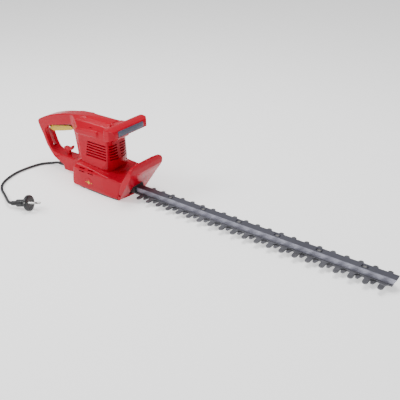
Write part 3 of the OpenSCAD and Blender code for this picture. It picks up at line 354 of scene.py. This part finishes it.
rubberLook = {"colour": (0.011, 0.011, 0.013), "shade": (0.02, 0.02, 0.023), "worn": (0.07, 0.07, 0.075),
              "cloudScale": 30, "grainScale": 1800, "scuffScale": 120, "scuffRun": (3, 3, 3),
              "scuff": 0.2, "rough": (0.36, 0.5), "bump": 0.35, "edgeWear": 0.0, "coat": 0.05,
              "gloss": 0.4}

redShell = mouldedPlastic("redShell", redLook)
blackShell = mouldedPlastic("blackShell", blackLook)
greyBar = mouldedPlastic("greyBar", greyLook)
yellowTrigger = mouldedPlastic("yellowTrigger", yellowLook)
cordRubber = mouldedPlastic("cordRubber", rubberLook)
bladeSteel = metalFinish("bladeSteel", bladeLook)
railAlloy = metalFinish("railAlloy", railLook)
castAlloy = metalFinish("castAlloy", castLook)
brightSteel = metalFinish("brightSteel", steelLook)
railTopShade = metalFinish("railTopShade", railTopShadeLook)
laminations = metalFinish("laminations", laminationLook)
copperWire = metalFinish("copperWire", copperLook)
pressedBrass = metalFinish("pressedBrass", brassLook)
graphite = metalFinish("graphite", carbonLook)
finishes = {"red_shell": redShell, "black_plastic": blackShell, "grey_plastic": greyBar,
            "yellow_plastic": yellowTrigger, "black_rubber": cordRubber, "blade_steel": bladeSteel,
            "rail_alloy": railAlloy, "cast_alloy": castAlloy, "steel": brightSteel,
            "lamination_steel": laminations, "copper": copperWire, "brass": pressedBrass, "carbon": graphite}
slotOf = {entry["node"]: entry["material_slot"] for entry in frame["record"]["subparts"]}
for nodeName, nodeObject in frame["nodes"].items():
    nodeObject.data.materials.clear()
    nodeObject.data.materials.append(finishes[slotOf[nodeName]])
frame["nodes"]["blade_nuts"].data.materials[0] = bladeSteel
print("stage: materials")


# mains cord and plug

cordLook = {"diameter": 6.2, "length": 0.3,
            "route": [(-166, 0, 10), (-178, -0.5, 7.6), (-189, -3.5, 4.8), (-199, -9.5, 3.5),
                      (-207, -18, 3.2),
                      (-212, -29, 3.2), (-215, -42, 3.2), (-217.5, -56, 3.2), (-218.5, -70, 3.2),
                      (-218.5, -84, 3.2), (-216.5, -97, 3.2), (-213, -110, 3.2), (-208, -124, 3.2),
                      (-202, -136, 3.2), (-194, -147, 3.2), (-184, -156.5, 3.2), (-173, -164, 3.4),
                      (-161, -170, 3.8), (-149, -175.5, 4.4), (-138, -181, 5.3), (-128, -186, 6.4),
                      (-119, -190.8, 7.6), (-110, -195, 8.9), (-102, -198, 9.8), (-94, -198, 10.6)]}
deselectAll()
bpy.ops.curve.primitive_bezier_curve_add()
mainsLead = bpy.context.object
line = mainsLead.data.splines[0]
line.bezier_points.add(len(cordLook["route"]) - len(line.bezier_points))
for point, place in zip(line.bezier_points, cordLook["route"]):
    point.co = metres(*place)
    point.handle_left_type = point.handle_right_type = "AUTO"
mainsLead.data.bevel_depth = cordLook["diameter"] / 2000  # half the diameter, in metres
mainsLead.data.bevel_resolution = 6
mainsLead.data.resolution_u = 8
mainsLead.data.use_fill_caps = True
finishPiece(mainsLead, "mainsLead", cordRubber, "machine", "black_rubber", "mains_cord")


def twinOf(piece):  # a second copy with its own mesh
    pick(piece)
    bpy.ops.object.duplicate()
    return bpy.context.object


def turnedPiece(profile, steps=64):  # a body of revolution about Z from (radius, height) points in mm
    deselectAll()
    bpy.ops.mesh.primitive_circle_add(vertices=len(profile), radius=1, fill_type="NOTHING")
    piece = bpy.context.object
    for vertex, (radius, height) in zip(piece.data.vertices, profile):
        vertex.co = metres(radius, 0, height)
    last = len(profile) - 1
    for edge in piece.data.edges:
        edge.select = set(edge.vertices) == {0, last}
    for vertex in piece.data.vertices:
        vertex.select = False
    bpy.ops.object.mode_set(mode="EDIT")
    bpy.ops.mesh.select_mode(type="EDGE")
    bpy.ops.mesh.delete(type="EDGE_FACE")
    bpy.ops.mesh.select_mode(type="VERT")
    bpy.ops.mesh.select_all(action="SELECT")
    bpy.ops.mesh.spin(steps=steps, angle=2 * math.pi, center=(0, 0, 0), axis=(0, 0, 1))
    bpy.ops.mesh.select_all(action="SELECT")
    bpy.ops.mesh.remove_doubles(threshold=1e-6)
    bpy.ops.mesh.normals_make_consistent(inside=False)
    bpy.ops.object.mode_set(mode="OBJECT")
    return piece


def standOnAxis(piece, root, heading, pitch, roll=0):  # turns the piece's own Z on to a tilted axis
    piece.rotation_mode = "XYZ"
    across, up = math.radians(heading), math.radians(pitch)
    axis = Vector((math.cos(up) * math.cos(across), math.cos(up) * math.sin(across), math.sin(up)))
    side = Vector((-math.sin(across), math.cos(across), 0))
    down = side.cross(axis)
    turn = Matrix((down, side, axis)).transposed() @ Matrix.Rotation(math.radians(roll), 3, "Z")
    piece.rotation_euler = turn.to_euler()
    piece.location = metres(*root)
    return settle(piece, piece.name)


plugLook = {
    "root": (-94, -198, 10.6), "heading": 20, "pitch": 9, "roll": 62,
    "profile": [(0, 0), (4.2, 0), (4.7, 0.6), (4.8, 2), (4.9, 12), (5.6, 13), (7.2, 13.6), (7.8, 14.6),
                (7.9, 16), (8, 28), (7.6, 29.6), (6.7, 30.4), (6.4, 31.4), (6.9, 33.4), (9, 35.6), (14, 38),
                (16.2, 39.6), (16.9, 40.6), (17, 41.4), (17, 44.6), (16.7, 45.4), (15.8, 46), (10.6, 46),
                (10.2, 45.5), (9.4, 45.5), (9, 46), (0, 46)],
    "grooves": (3.4, 5.8, 8.2, 10.6), "grooveRing": 5.1, "grooveDeep": 0.6,
    "pinGap": 19, "pinHole": 2.45, "pinRun": (40, 60),
    "stripOut": (15.5, 18.5), "stripHalf": 2.1, "stripRun": (41.1, 45.3),
    "flutes": 10, "fluteTurn": 0.3, "fluteRing": 8.9, "fluteRun": (16.5, 27), "fluteRadius": 1.5,
}
plugBody = turnedPiece(plugLook["profile"])
for height in plugLook["grooves"]:  # bend grooves in the boot
    deselectAll()
    bpy.ops.mesh.primitive_torus_add(major_radius=plugLook["grooveRing"] / 1000,
                                     minor_radius=plugLook["grooveDeep"] / 1000, major_segments=48,
                                     minor_segments=10, location=(0, 0, height / 1000))
    cut(plugBody, bpy.context.object)
for side in (-1, 1):
    x = side * plugLook["pinGap"] / 2
    cut(plugBody, rod(*[(x, 0, z) for z in plugLook["pinRun"]], plugLook["pinHole"]))
    ends = sorted(side * value for value in plugLook["stripOut"])
    cut(plugBody, block((ends[0], -plugLook["stripHalf"], plugLook["stripRun"][0]),
                        (ends[1], plugLook["stripHalf"], plugLook["stripRun"][1])))
for index in range(plugLook["flutes"]):  # finger flutes round the collar
    angle = index * 2 * math.pi / plugLook["flutes"] + plugLook["fluteTurn"]
    x, y = plugLook["fluteRing"] * math.cos(angle), plugLook["fluteRing"] * math.sin(angle)
    cut(plugBody, rod(*[(x, y, z) for z in plugLook["fluteRun"]], plugLook["fluteRadius"], 16))
standOnAxis(plugBody, plugLook["root"], plugLook["heading"], plugLook["pitch"], plugLook["roll"])
smoothShade(plugBody, 40)
finishPiece(plugBody, "plugBody", cordRubber, "machine", "black_rubber", "plug_body")

reliefLook = {
    "root": (-131, 0, 13.4), "heading": 180, "pitch": -5.55,
    "profile": [(0, 0), (5.8, 0), (5.8, 3), (5, 3.2), (5, 8), (4.9, 9), (4.25, 34.5), (4, 35), (3.2, 35.17),
                (0, 35.17)],
    "slots": 6, "slotStart": 11, "slotStep": 3.8, "slotOut": 5.4, "slotHalf": (1.6, 4.2), "slotTall": 1.6,
}
strainRelief = turnedPiece(reliefLook["profile"])
for index in range(reliefLook["slots"]):  # staggered slots that let it bend
    height = reliefLook["slotStart"] + reliefLook["slotStep"] * index
    turn = (index % 2) * math.pi / 2
    wide, deep = reliefLook["slotHalf"] if index % 2 == 0 else reliefLook["slotHalf"][::-1]
    for side in (-1, 1):
        x, y = side * math.cos(turn) * reliefLook["slotOut"], side * math.sin(turn) * reliefLook["slotOut"]
        cut(strainRelief, block((x - wide, y - deep, height),
                                (x + wide, y + deep, height + reliefLook["slotTall"])))
standOnAxis(strainRelief, reliefLook["root"], reliefLook["heading"], reliefLook["pitch"])
smoothShade(strainRelief, 40)
finishPiece(strainRelief, "strainRelief", cordRubber, "machine", "black_rubber", "strain_relief")

print("stage: cord and plug")


# body shells

bodyLook = {
    "roof": [(-209, 112), (-205, 118.5), (-193, 125), (-175, 133), (-155, 140), (-130, 147), (-104, 152.5),
             (-64, 158.5), (-18, 162), (20, 162)],
    "belly": [(34, 160), (36, 130), (36, 100), (41, 71), (39, 60), (34, 51.3), (-56, 61), (-60.2, 48),
              (-70.6, 12), (-100, 9), (-121, 6.5), (-134, 6.5), (-136, 20), (-150, 24), (-165, 31.5),
              (-175, 42),
              (-187, 59), (-191, 70), (-195, 81), (-203, 96)],
    "opening": [(-171, 109.5), (-160, 113), (-130, 120.5), (-96, 128.5), (-87, 125), (-82, 114), (-74, 92),
                (-68, 72), (-71, 58), (-78, 49), (-90, 45.5), (-130, 44), (-156, 45.5), (-168, 50),
                (-174.5, 58),
                (-179, 69), (-183, 80), (-185, 90), (-183, 99)],
    "front": [(36.1, 40), (36.1, 59), (34.1, 67), (31.6, 80), (29.6, 110), (30.1, 128), (28.1, 141),
              (22.6, 151),
              (13.6, 159), (5, 162)],
    "plan": [(-92, 14.5), (-80, 17.5), (-64, 25.6), (-44, 36.1), (18, 36.1), (30, 32.1), (37, 18), (40.5, 6)],
    "gripHalf": 14.5, "voxel": 1.25, "rounding": 9,
    "frontRun": (-95, 45), "planRun": (45, 175), "gripBlock": ((-230, -60, 0), (-42, 60, 175)),
    "panel": [(-62, 126), (-58, 123.5), (-30, 124.5), (2, 126), (6, 129), (5, 136), (1, 138.5),
              (-30, 137.5), (-56, 135), (-61, 131)],
    "panelDepth": (26, 31.9),
    "motorBore": ((-16, 0, 30), (-16, 0, 144), 27, 96),
    "triggerSlot": [(-179, 94), (-93, 94), (-93, 134), (-100, 134), (-165, 118), (-179, 114)],
    "triggerHalf": 8.1,
    "gripBay": [(-178, 113), (-165, 115.5), (-96, 132.5), (-60, 132.5), (-60, 146), (-104, 147),
                (-155, 135.5),
                (-178, 126)],
    "gripBayHalf": 11.3,
    "cordBay": [(-131, 9.2), (-121, 9.2), (-100, 12), (-78, 15), (-74, 40), (-66, 60), (-56, 70), (-56, 84),
                (-64, 84), (-82, 34), (-90, 26), (-131, 19)],
    "cordBayHalf": 4.5,
    "cableSlot": ((-212, -3.7, 53), (-172, 3.7, 96)), "hookFoot": ((-130.1, -4.1, 36.9), (-121.9, 4.1, 60)),
    "louvreLow": 78, "louvreStep": 6.1, "louvreGap": 3, "louvres": 6,
    "louvreSide": (20, 29, 38), "louvreDrop": 3.4, "louvreRun": (-33, 27.5),
    "louvreFront": (18, 60), "louvreHalf": (4, 25.6),
    "screws": [(-197, 110), (-152, 35), (-99, 38), (-69.5, 104), (-52, 152), (24, 148), (31, 66)],
    "screwDepth": (8, 60), "screwRadius": 3.7,
    "leftHalf": ((-240, 0.12, -10), (60, 70, 190)),  # each half stops 0.12 mm short of the seam
    "rightHalf": ((-240, -70, -10), (60, -0.12, 190)),
}
roofLine = rounded(bodyLook["roof"], 4, closed=False)
bodyTower = prism(roofLine + bodyLook["belly"], "y", -pastSides, pastSides)
cut(bodyTower, prism(mirroredFront(bodyLook["front"]), "x", *bodyLook["frontRun"]), "INTERSECT")
cut(bodyTower, prism(mirrored(bodyLook["plan"]), "z", *bodyLook["planRun"]), "INTERSECT")
bodyWhole = prism(roofLine + bodyLook["belly"], "y", -bodyLook["gripHalf"], bodyLook["gripHalf"])
cut(bodyWhole, block(*bodyLook["gripBlock"]), "INTERSECT")
cut(bodyWhole, bodyTower, "UNION")
cut(bodyWhole, prism(rounded(bodyLook["opening"], 3), "y", -pastSides, pastSides))
for side in (-1, 1):  # raised grip panel above the louvres on each flank
    depths = sorted(side * value for value in bodyLook["panelDepth"])
    cut(bodyWhole, prism(rounded(bodyLook["panel"], 2), "y", *depths), "UNION")
soften(bodyWhole, bodyLook["voxel"], bodyLook["rounding"])
cut(bodyWhole, rod(*bodyLook["motorBore"]))
for bay, half in (("triggerSlot", "triggerHalf"), ("gripBay", "gripBayHalf"), ("cordBay", "cordBayHalf")):
    cut(bodyWhole, prism(bodyLook[bay], "y", -bodyLook[half], bodyLook[half]))
cut(bodyWhole, block(*bodyLook["cableSlot"]))
cut(bodyWhole, block(*bodyLook["hookFoot"]))
for index in range(bodyLook["louvres"]):
    low = bodyLook["louvreLow"] + index * bodyLook["louvreStep"]
    high = low + bodyLook["louvreGap"]
    for side in (-1, 1):
        inner, knee, outer = [side * value for value in bodyLook["louvreSide"]]
        slot = [(inner, low), (knee, low), (outer, low - bodyLook["louvreDrop"]),
                (outer, high), (inner, high)]
        cut(bodyWhole, prism(slot, "x", bodyLook["louvreRun"][0] + index, bodyLook["louvreRun"][1]))
        ends = sorted(side * value for value in bodyLook["louvreHalf"])
        cut(bodyWhole, block((bodyLook["louvreFront"][0], ends[0], low),
                             (bodyLook["louvreFront"][1], ends[1], high)))
for x, z in bodyLook["screws"]:
    cut(bodyWhole, rod(*[(x, y, z) for y in bodyLook["screwDepth"]], bodyLook["screwRadius"], 32))
bodyTwin = twinOf(bodyWhole)
cut(bodyWhole, block(*bodyLook["leftHalf"]), "INTERSECT")
cut(bodyTwin, block(*bodyLook["rightHalf"]), "INTERSECT")
for shell, shellName, node in ((bodyWhole, "bodyShellLeft", "housing_left"),
                               (bodyTwin, "bodyShellRight", "housing_right")):
    tidyMesh(shell)
    smoothShade(shell, 32)
    finishPiece(shell, shellName, redShell, "machine", "red_shell", node)
print("stage: body shells")


# gear housing, guard, cover

gearHousingLook = {
    "side": [(-54, 0), (-69.5, 4.5), (-71, 10), (-60, 48), (-56, 61), (83, 46), (66, 0)],
    "plan": [(-73, 45), (-65, 48.5), (-40, 50), (30, 50), (90, 45.5)],
    "front": [(48, 0), (50, 12), (50, 47), (46, 55), (38, 62)],
    "inside": [(-55, -1), (-59, 3), (-67, 10), (-56.2, 46.6), (-53, 57), (80, 42), (63, -1)],
    "insideHalf": 46, "insideFront": [(43, -2), (46.3, 12), (46.3, 45), (42, 51), (34, 58)],
    "insidePlan": [(-73, 41), (-63, 44), (-40, 46.3), (30, 46.3), (90, 41.5)],
    "planRun": (3, 80), "frontRun": (-80, 100), "insideFrontRun": (-80, 90), "insidePlanRun": (-2, 80),
    "collar": [(-52, 36.5), (-40, 39.2), (20, 39.2), (33, 36), (42, 22), (45, 0), (42, -22), (33, -36),
               (20, -39.2), (-40, -39.2), (-52, -36.5)],
    "collarRun": (40, 64),
    "collarSide": [(-70, 30), (-70, 64.5), (90, 47.4), (90, 30)],
    "voxel": 1.3, "rounding": 10, "sole": ((-90, -70, -5), (120, 70, 3.02)),
    "motorBore": ((-16, 0, 30), (-16, 0, 90), 27.5, 96),
    "badgeRecess": ((-14, -60, 22), (-14, -49, 22), 11.1, 64),
    "ventDepth": (42, 58), "ventStarts": (-42, -15), "ventRows": (43, 50), "ventLong": 17, "ventTall": 2.6,
}
gearHousing = prism(gearHousingLook["side"], "y", -pastSides, pastSides)
cut(gearHousing, prism(mirrored(gearHousingLook["plan"]), "z", *gearHousingLook["planRun"]), "INTERSECT")
cut(gearHousing, prism(mirroredFront(gearHousingLook["front"]), "x", *gearHousingLook["frontRun"]),
    "INTERSECT")
collar = prism(gearHousingLook["collar"], "z", *gearHousingLook["collarRun"])
cut(collar, prism(gearHousingLook["collarSide"], "y", -pastSides, pastSides), "INTERSECT")
cut(gearHousing, collar, "UNION")
soften(gearHousing, gearHousingLook["voxel"], gearHousingLook["rounding"])
cut(gearHousing, block(*gearHousingLook["sole"]))
hollow = prism(gearHousingLook["inside"], "y", -gearHousingLook["insideHalf"], gearHousingLook["insideHalf"])
cut(hollow, prism(mirroredFront(gearHousingLook["insideFront"]), "x", *gearHousingLook["insideFrontRun"]),
    "INTERSECT")
cut(hollow, prism(mirrored(gearHousingLook["insidePlan"]), "z", *gearHousingLook["insidePlanRun"]),
    "INTERSECT")
cut(gearHousing, hollow)
cut(gearHousing, rod(*gearHousingLook["motorBore"]))
cut(gearHousing, block(*bladeSlot))
for side in (-1, 1):
    ends = sorted(side * value for value in gearHousingLook["ventDepth"])
    for x in gearHousingLook["ventStarts"]:
        for z in gearHousingLook["ventRows"]:
            cut(gearHousing, block((x, ends[0], z), (x + gearHousingLook["ventLong"], ends[1],
                                                     z + gearHousingLook["ventTall"])))
cut(gearHousing, rod(*gearHousingLook["badgeRecess"]))
tidyMesh(gearHousing)
smoothShade(gearHousing, 32)
finishPiece(gearHousing, "gearHousing", redShell, "machine", "red_shell", "gear_housing")

guardLook = {
    "side": [(66.3, 0), (83.3, 46), (95, 62), (105, 76), (109, 85), (109, 95), (113.5, 95),
             (116.5, 82), (115, 70),
             (109, 60), (99, 46), (87, 27), (76, 10), (70, 0)],
    "front": [(46, 0), (48.5, 25), (51, 50), (52.5, 70), (52, 80), (49, 86), (43, 89.5), (25, 91.5)],
    "voxel": 1.1, "rounding": 6, "frontRun": (60, 120),
    "dishRadius": 94, "dishLong": 200, "dishHinge": (120, 0, -20), "dishTilt": 33, "dishCentre": (46, 0, 80),
    "lipBar": ((-61, 0, 0), (-61, 0, 11), 136, 160), "lipSide": [(66.3, 0), (70.4, 11), (80, 11), (80, 0)],
    "lipHalf": 46,
    "housingGap": [(50, -8), (50, 70), (91.98, 70), (83.1, 46), (66.1, 0), (63, -8)],
    "slotBlock": ((104, -3, 75), (114, 5, 83)),
    "recessPlace": (75.8, 15), "recessDepth": (60, 45), "recessRadius": 2.8,
}
handGuard = prism(guardLook["side"], "y", -pastSides, pastSides)
cut(handGuard, prism(mirroredFront(guardLook["front"]), "x", *guardLook["frontRun"]), "INTERSECT")
deselectAll()
bpy.ops.mesh.primitive_cylinder_add(vertices=128, radius=guardLook["dishRadius"] / 1000,
                                    depth=guardLook["dishLong"] / 1000)
dish = bpy.context.object
dish.matrix_world = (Matrix.Translation(metres(*guardLook["dishHinge"]))
                     @ Matrix.Rotation(math.radians(guardLook["dishTilt"]), 4, "Y")
                     @ Matrix.Translation(metres(*guardLook["dishCentre"])))
settle(dish, "dish")
cut(handGuard, dish)
lip = rod(*guardLook["lipBar"])
cut(lip, prism(guardLook["lipSide"], "y", -guardLook["lipHalf"], guardLook["lipHalf"]), "INTERSECT")
cut(handGuard, lip, "UNION")
soften(handGuard, guardLook["voxel"], guardLook["rounding"])
cut(handGuard, prism(guardLook["housingGap"], "y", -pastSides, pastSides))
cut(handGuard, block(*bladeSlot))
cut(handGuard, block(*guardLook["slotBlock"]))
for side in (-1, 1):  # blind screw recess low on each end
    x, z = guardLook["recessPlace"]
    cut(handGuard, rod(*[(x, side * y, z) for y in guardLook["recessDepth"]], guardLook["recessRadius"], 32))
tidyMesh(handGuard)
smoothShade(handGuard, 32)
finishPiece(handGuard, "handGuard", redShell, "machine", "red_shell", "hand_guard")

# each bevel is a width in mm, then its steps and the sharpest angle left alone in degrees
edgeLook = {"cover": (0.5,), "bracket": (1.2, 3), "rail": (0.5, 2), "teeth": (0.35, 2, 50)}
baseCover = bevelled(copyOf("base_cover", "baseCover"), *edgeLook["cover"])
tidyMesh(baseCover)
smoothShade(baseCover, weighted=True)
finishPiece(baseCover, "baseCover", blackShell, "machine", "black_plastic", "base_cover")
bladeBracket = bevelled(copyOf("blade_bracket", "bladeBracket"), *edgeLook["bracket"])
smoothShade(bladeBracket, weighted=True)
finishPiece(bladeBracket, "bladeBracket", blackShell, "machine", "black_plastic", "blade_bracket")
print("stage: gear housing and guard")


# front handle and switch bar

handleLook = {
    "section": [(45, 149), (46, 157), (51, 163), (60, 164.5), (70, 162.5), (75, 160), (77, 152.5),
                (76.5, 145.5),
                (73, 143), (62, 139.6), (50, 139)],
    "plan": [(45, 49), (54, 58), (68, 58), (77, 49)],
    "neck": [(36.1, 118), (36.1, 130), (34.7, 152), (50, 152), (60, 141), (52, 128)],
    "neckTop": [(34.7, 152), (34.2, 159.5), (50, 161), (50, 152)],
    "half": 58, "planRun": (100, 200), "neckHalf": 18, "neckTopHalf": 16,
    "voxel": 0.9, "rounding": 7,
    "barBay": ((51, -40.6, 145.8), (72.5, 40.6, 159)), "barMouth": ((51, -38.8, 145.8), (90, 38.8, 159)),
    "upperHalf": ((20, -80, 152.1), (100, 80, 200)),  # split at 152, each half 0.1 mm short of it
    "lowerHalf": ((20, -80, 100), (100, 80, 151.9)),
}
frontHandle = prism(rounded(handleLook["section"], 3), "y", -handleLook["half"], handleLook["half"])
cut(frontHandle, prism(mirrored(handleLook["plan"]), "z", *handleLook["planRun"]), "INTERSECT")
for part, half in (("neck", "neckHalf"), ("neckTop", "neckTopHalf")):
    cut(frontHandle, prism(handleLook[part], "y", -handleLook[half], handleLook[half]), "UNION")
soften(frontHandle, handleLook["voxel"], handleLook["rounding"])
cut(frontHandle, block(*handleLook["barBay"]))
cut(frontHandle, block(*handleLook["barMouth"]))
handleTwin = twinOf(frontHandle)
cut(frontHandle, block(*handleLook["upperHalf"]), "INTERSECT")
cut(handleTwin, block(*handleLook["lowerHalf"]), "INTERSECT")
for shell, shellName, node in ((frontHandle, "frontHandleUpper", "front_handle_upper"),
                               (handleTwin, "frontHandleLower", "front_handle_lower")):
    tidyMesh(shell)
    smoothShade(shell, 32)
    finishPiece(shell, shellName, redShell, "machine", "red_shell", node)

switchBarLook = {
    "outline": [(69.25, 146.15), (69.25, 158.65), (76, 158.65), (77.9, 156.4), (78.3, 152.4), (77.9, 148.4),
                (76, 146.15)],
    "half": 38.4, "flange": ((69.25, -40.2, 146.15), (72.2, 40.2, 158.65)), "edge": 0.9,
    "grooves": 3, "grooveLow": 149.9, "grooveStep": 2.5, "grooveFace": 78.55, "grooveHalf": 34,
    "grooveRadius": 0.75,
}
switchBar = prism(switchBarLook["outline"], "y", -switchBarLook["half"], switchBarLook["half"])
cut(switchBar, block(*switchBarLook["flange"]), "UNION")
bevelled(switchBar, switchBarLook["edge"], 3)
for index in range(switchBarLook["grooves"]):  # fine grip grooves along the face
    x, z = switchBarLook["grooveFace"], switchBarLook["grooveLow"] + index * switchBarLook["grooveStep"]
    half = switchBarLook["grooveHalf"]
    cut(switchBar, rod((x, -half, z), (x, half, z), switchBarLook["grooveRadius"], 20))
tidyMesh(switchBar)
smoothShade(switchBar, weighted=True)
finishPiece(switchBar, "switchBar", greyBar, "switch_bar", "grey_plastic", "front_switch_bar")


def softSpring(node, name, anchor):  # a coil copied from the CAD node, shaded smooth and finished in steel
    coil = copyOf(node, name)
    low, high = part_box(node)
    smoothShade(coil, 60)
    finishPiece(coil, name, brightSteel, "machine", "steel", node)
    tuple(anchor(low, high))
    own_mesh(coil)


softSpring("front_bar_springs", "barSprings", lambda low, high: tuple(low))
softSpring("trigger_spring", "triggerSpring",
           lambda low, high: tuple(high))
print("stage: front handle")


# trigger, hook, badge

triggerLook = {
    "outline": [(-176, 103), (-173, 98.5), (-162, 96.5), (-130, 104), (-101, 112), (-97, 117), (-97.5, 121),
                (-108, 121.5), (-162, 110.5), (-168, 111), (-174, 109.5)],
    "half": 7.7, "voxel": 0.7, "rounding": 5, "pivotBore": ((-170, -20, 106.5), (-170, 20, 106.5), 2.1, 32),
    "ribs": 9, "ribStart": (-152, 98.6), "ribStep": 5, "ribSlope": 0.25, "ribSink": 0.75, "ribHalf": 5.5,
    "ribRadius": 1.0,
}
rearTrigger = prism(triggerLook["outline"], "y", -triggerLook["half"], triggerLook["half"])
soften(rearTrigger, triggerLook["voxel"], triggerLook["rounding"])
cut(rearTrigger, rod(*triggerLook["pivotBore"]))
for index in range(triggerLook["ribs"]):  # grip grooves across the finger face
    run = index * triggerLook["ribStep"]
    x = triggerLook["ribStart"][0] + run
    z = triggerLook["ribStart"][1] + run * triggerLook["ribSlope"] - triggerLook["ribSink"]
    cut(rearTrigger, rod((x, -triggerLook["ribHalf"], z), (x, triggerLook["ribHalf"], z),
                         triggerLook["ribRadius"], 16))
smoothShade(rearTrigger, 40)
finishPiece(rearTrigger, "rearTrigger", yellowTrigger, "trigger", "yellow_plastic", "rear_trigger")

hookLook = {
    "outline": [(-130, 37), (-122, 37), (-122, 55), (-117, 56), (-112, 60), (-109, 67), (-112, 69),
                (-116, 64.5),
                (-122, 62.5), (-136, 62.5), (-140, 60), (-138, 56.5), (-130, 55)],
    "half": 3.95, "voxel": 0.6, "rounding": 5,
}
cordHook = prism(hookLook["outline"], "y", -hookLook["half"], hookLook["half"])
soften(cordHook, hookLook["voxel"], hookLook["rounding"])
smoothShade(cordHook, 40)
finishPiece(cordHook, "cordHook", redShell, "machine", "red_shell", "cord_hook")

badgeLook = {
    "centre": (-14, -49.7, 22), "radius": 10.6, "thick": 1.2, "edge": 0.35,
    "points": 16, "reach": (5.6, 4.4), "waist": 2.3, "markDepth": (-50.75, -50.1), "markEdge": 0.12,
    "bars": ((-24, -20.5), (-7.5, -4)), "barRise": (21.4, 22.6), "barDepth": (-50.6, -50.1),
}
deselectAll()
bpy.ops.mesh.primitive_cylinder_add(vertices=96, radius=badgeLook["radius"] / 1000,
                                    depth=badgeLook["thick"] / 1000, location=metres(*badgeLook["centre"]),
                                    rotation=(math.radians(90), 0, 0))
badgePlate = settle(bpy.context.object, "badgePlate")
bevelled(badgePlate, badgeLook["edge"], 3)
smoothShade(badgePlate, weighted=True)
finishPiece(badgePlate, "badgePlate", redShell, "machine", "red_shell")
leaf = []
for index in range(badgeLook["points"]):  # a plain pointed outline, long and short points by turns
    angle = index * 2 * math.pi / badgeLook["points"]
    reach = badgeLook["waist"] if index % 2 else badgeLook["reach"][index // 2 % 2]
    leaf.append((badgeLook["centre"][0] + reach * math.sin(angle),
                 badgeLook["centre"][2] + reach * math.cos(angle)))
badgeMark = prism(leaf, "y", *badgeLook["markDepth"])
for low, high in badgeLook["bars"]:
    foot, top = badgeLook["barRise"]
    bar = prism([(low, foot), (high, foot), (high, top), (low, top)], "y", *badgeLook["barDepth"])
    cut(badgeMark, bar, "UNION")
bevelled(badgeMark, badgeLook["markEdge"], 2)
smoothShade(badgeMark, weighted=True)
finishPiece(badgeMark, "badgeMark", yellowTrigger, "machine", "yellow_plastic", "badge")
print("stage: trigger, hook, badge")


# blade

bladeRail = bevelled(copyOf("blade_rail", "bladeRail"), *edgeLook["rail"])
smoothShade(bladeRail, weighted=True)
finishPiece(bladeRail, "bladeRail", railAlloy, "machine", "rail_alloy", "blade_rail")
bladeRail.data.materials.append(railTopShade)
for face in bladeRail.data.polygons:  # the upward faces get the darker copy of the rail finish: painted shade on the top
    face.material_index = 1 if face.normal.z > 0.9 else 0
for bladeName, node, body in (("combBlade", "comb_blade", "machine"),
                              ("cutterBlade", "cutter_blade", "cutter")):
    blade = bevelled(copyOf(node, bladeName), *edgeLook["teeth"])
    smoothShade(blade, weighted=True)
    finishPiece(blade, bladeName, bladeSteel, body, "blade_steel", node)
print("stage: blade")


# floor and light

studioLook = {"floor": (0.9, 0.9, 0.9), "floorRough": 0.7, "floorGlow": 0.7, "floorSize": 12,
              "floorHeight": -0.0005, "world": (1.0, 1.0, 1.0), "worldStrength": 0.45, "aim": (0.1, 0, 0.05),
              "lights": [("keyLight", (-1.0, -0.95, 1.4), 0.7, 26), ("fillLight", (1.9, -0.6, 1.1), 1.0, 4),
                         ("topLight", (0.1, 0.2, 1.9), 1.0, 30)]}
deselectAll()
bpy.ops.mesh.primitive_plane_add(size=studioLook["floorSize"], location=(0, 0, studioLook["floorHeight"]))
floor = bpy.context.object
floor.name = "studioFloor"
floorMaterial, floorTree, floorShader = newMaterial("paleFloor")
floorShader.inputs["Base Color"].default_value = (*studioLook["floor"], 1)
floorShader.inputs["Roughness"].default_value = studioLook["floorRough"]
floorShader.inputs["Emission Color"].default_value = (1, 1, 1, 1)
floorShader.inputs["Emission Strength"].default_value = studioLook["floorGlow"]
floor.data.materials.append(floorMaterial)
world = bpy.data.worlds.new("studioWorld")
world.use_nodes = True
world.node_tree.nodes["Background"].inputs["Color"].default_value = (*studioLook["world"], 1)
world.node_tree.nodes["Background"].inputs["Strength"].default_value = studioLook["worldStrength"]
bpy.context.scene.world = world
for lightName, place, size, power in studioLook["lights"]:
    bpy.ops.object.light_add(type="AREA", location=place)
    light = bpy.context.object
    light.name = lightName
    light.data.size = size
    light.data.energy = power
    light.rotation_euler = (Vector(studioLook["aim"]) - Vector(place)).to_track_quat("-Z", "Y").to_euler()
print("stage: floor and light")
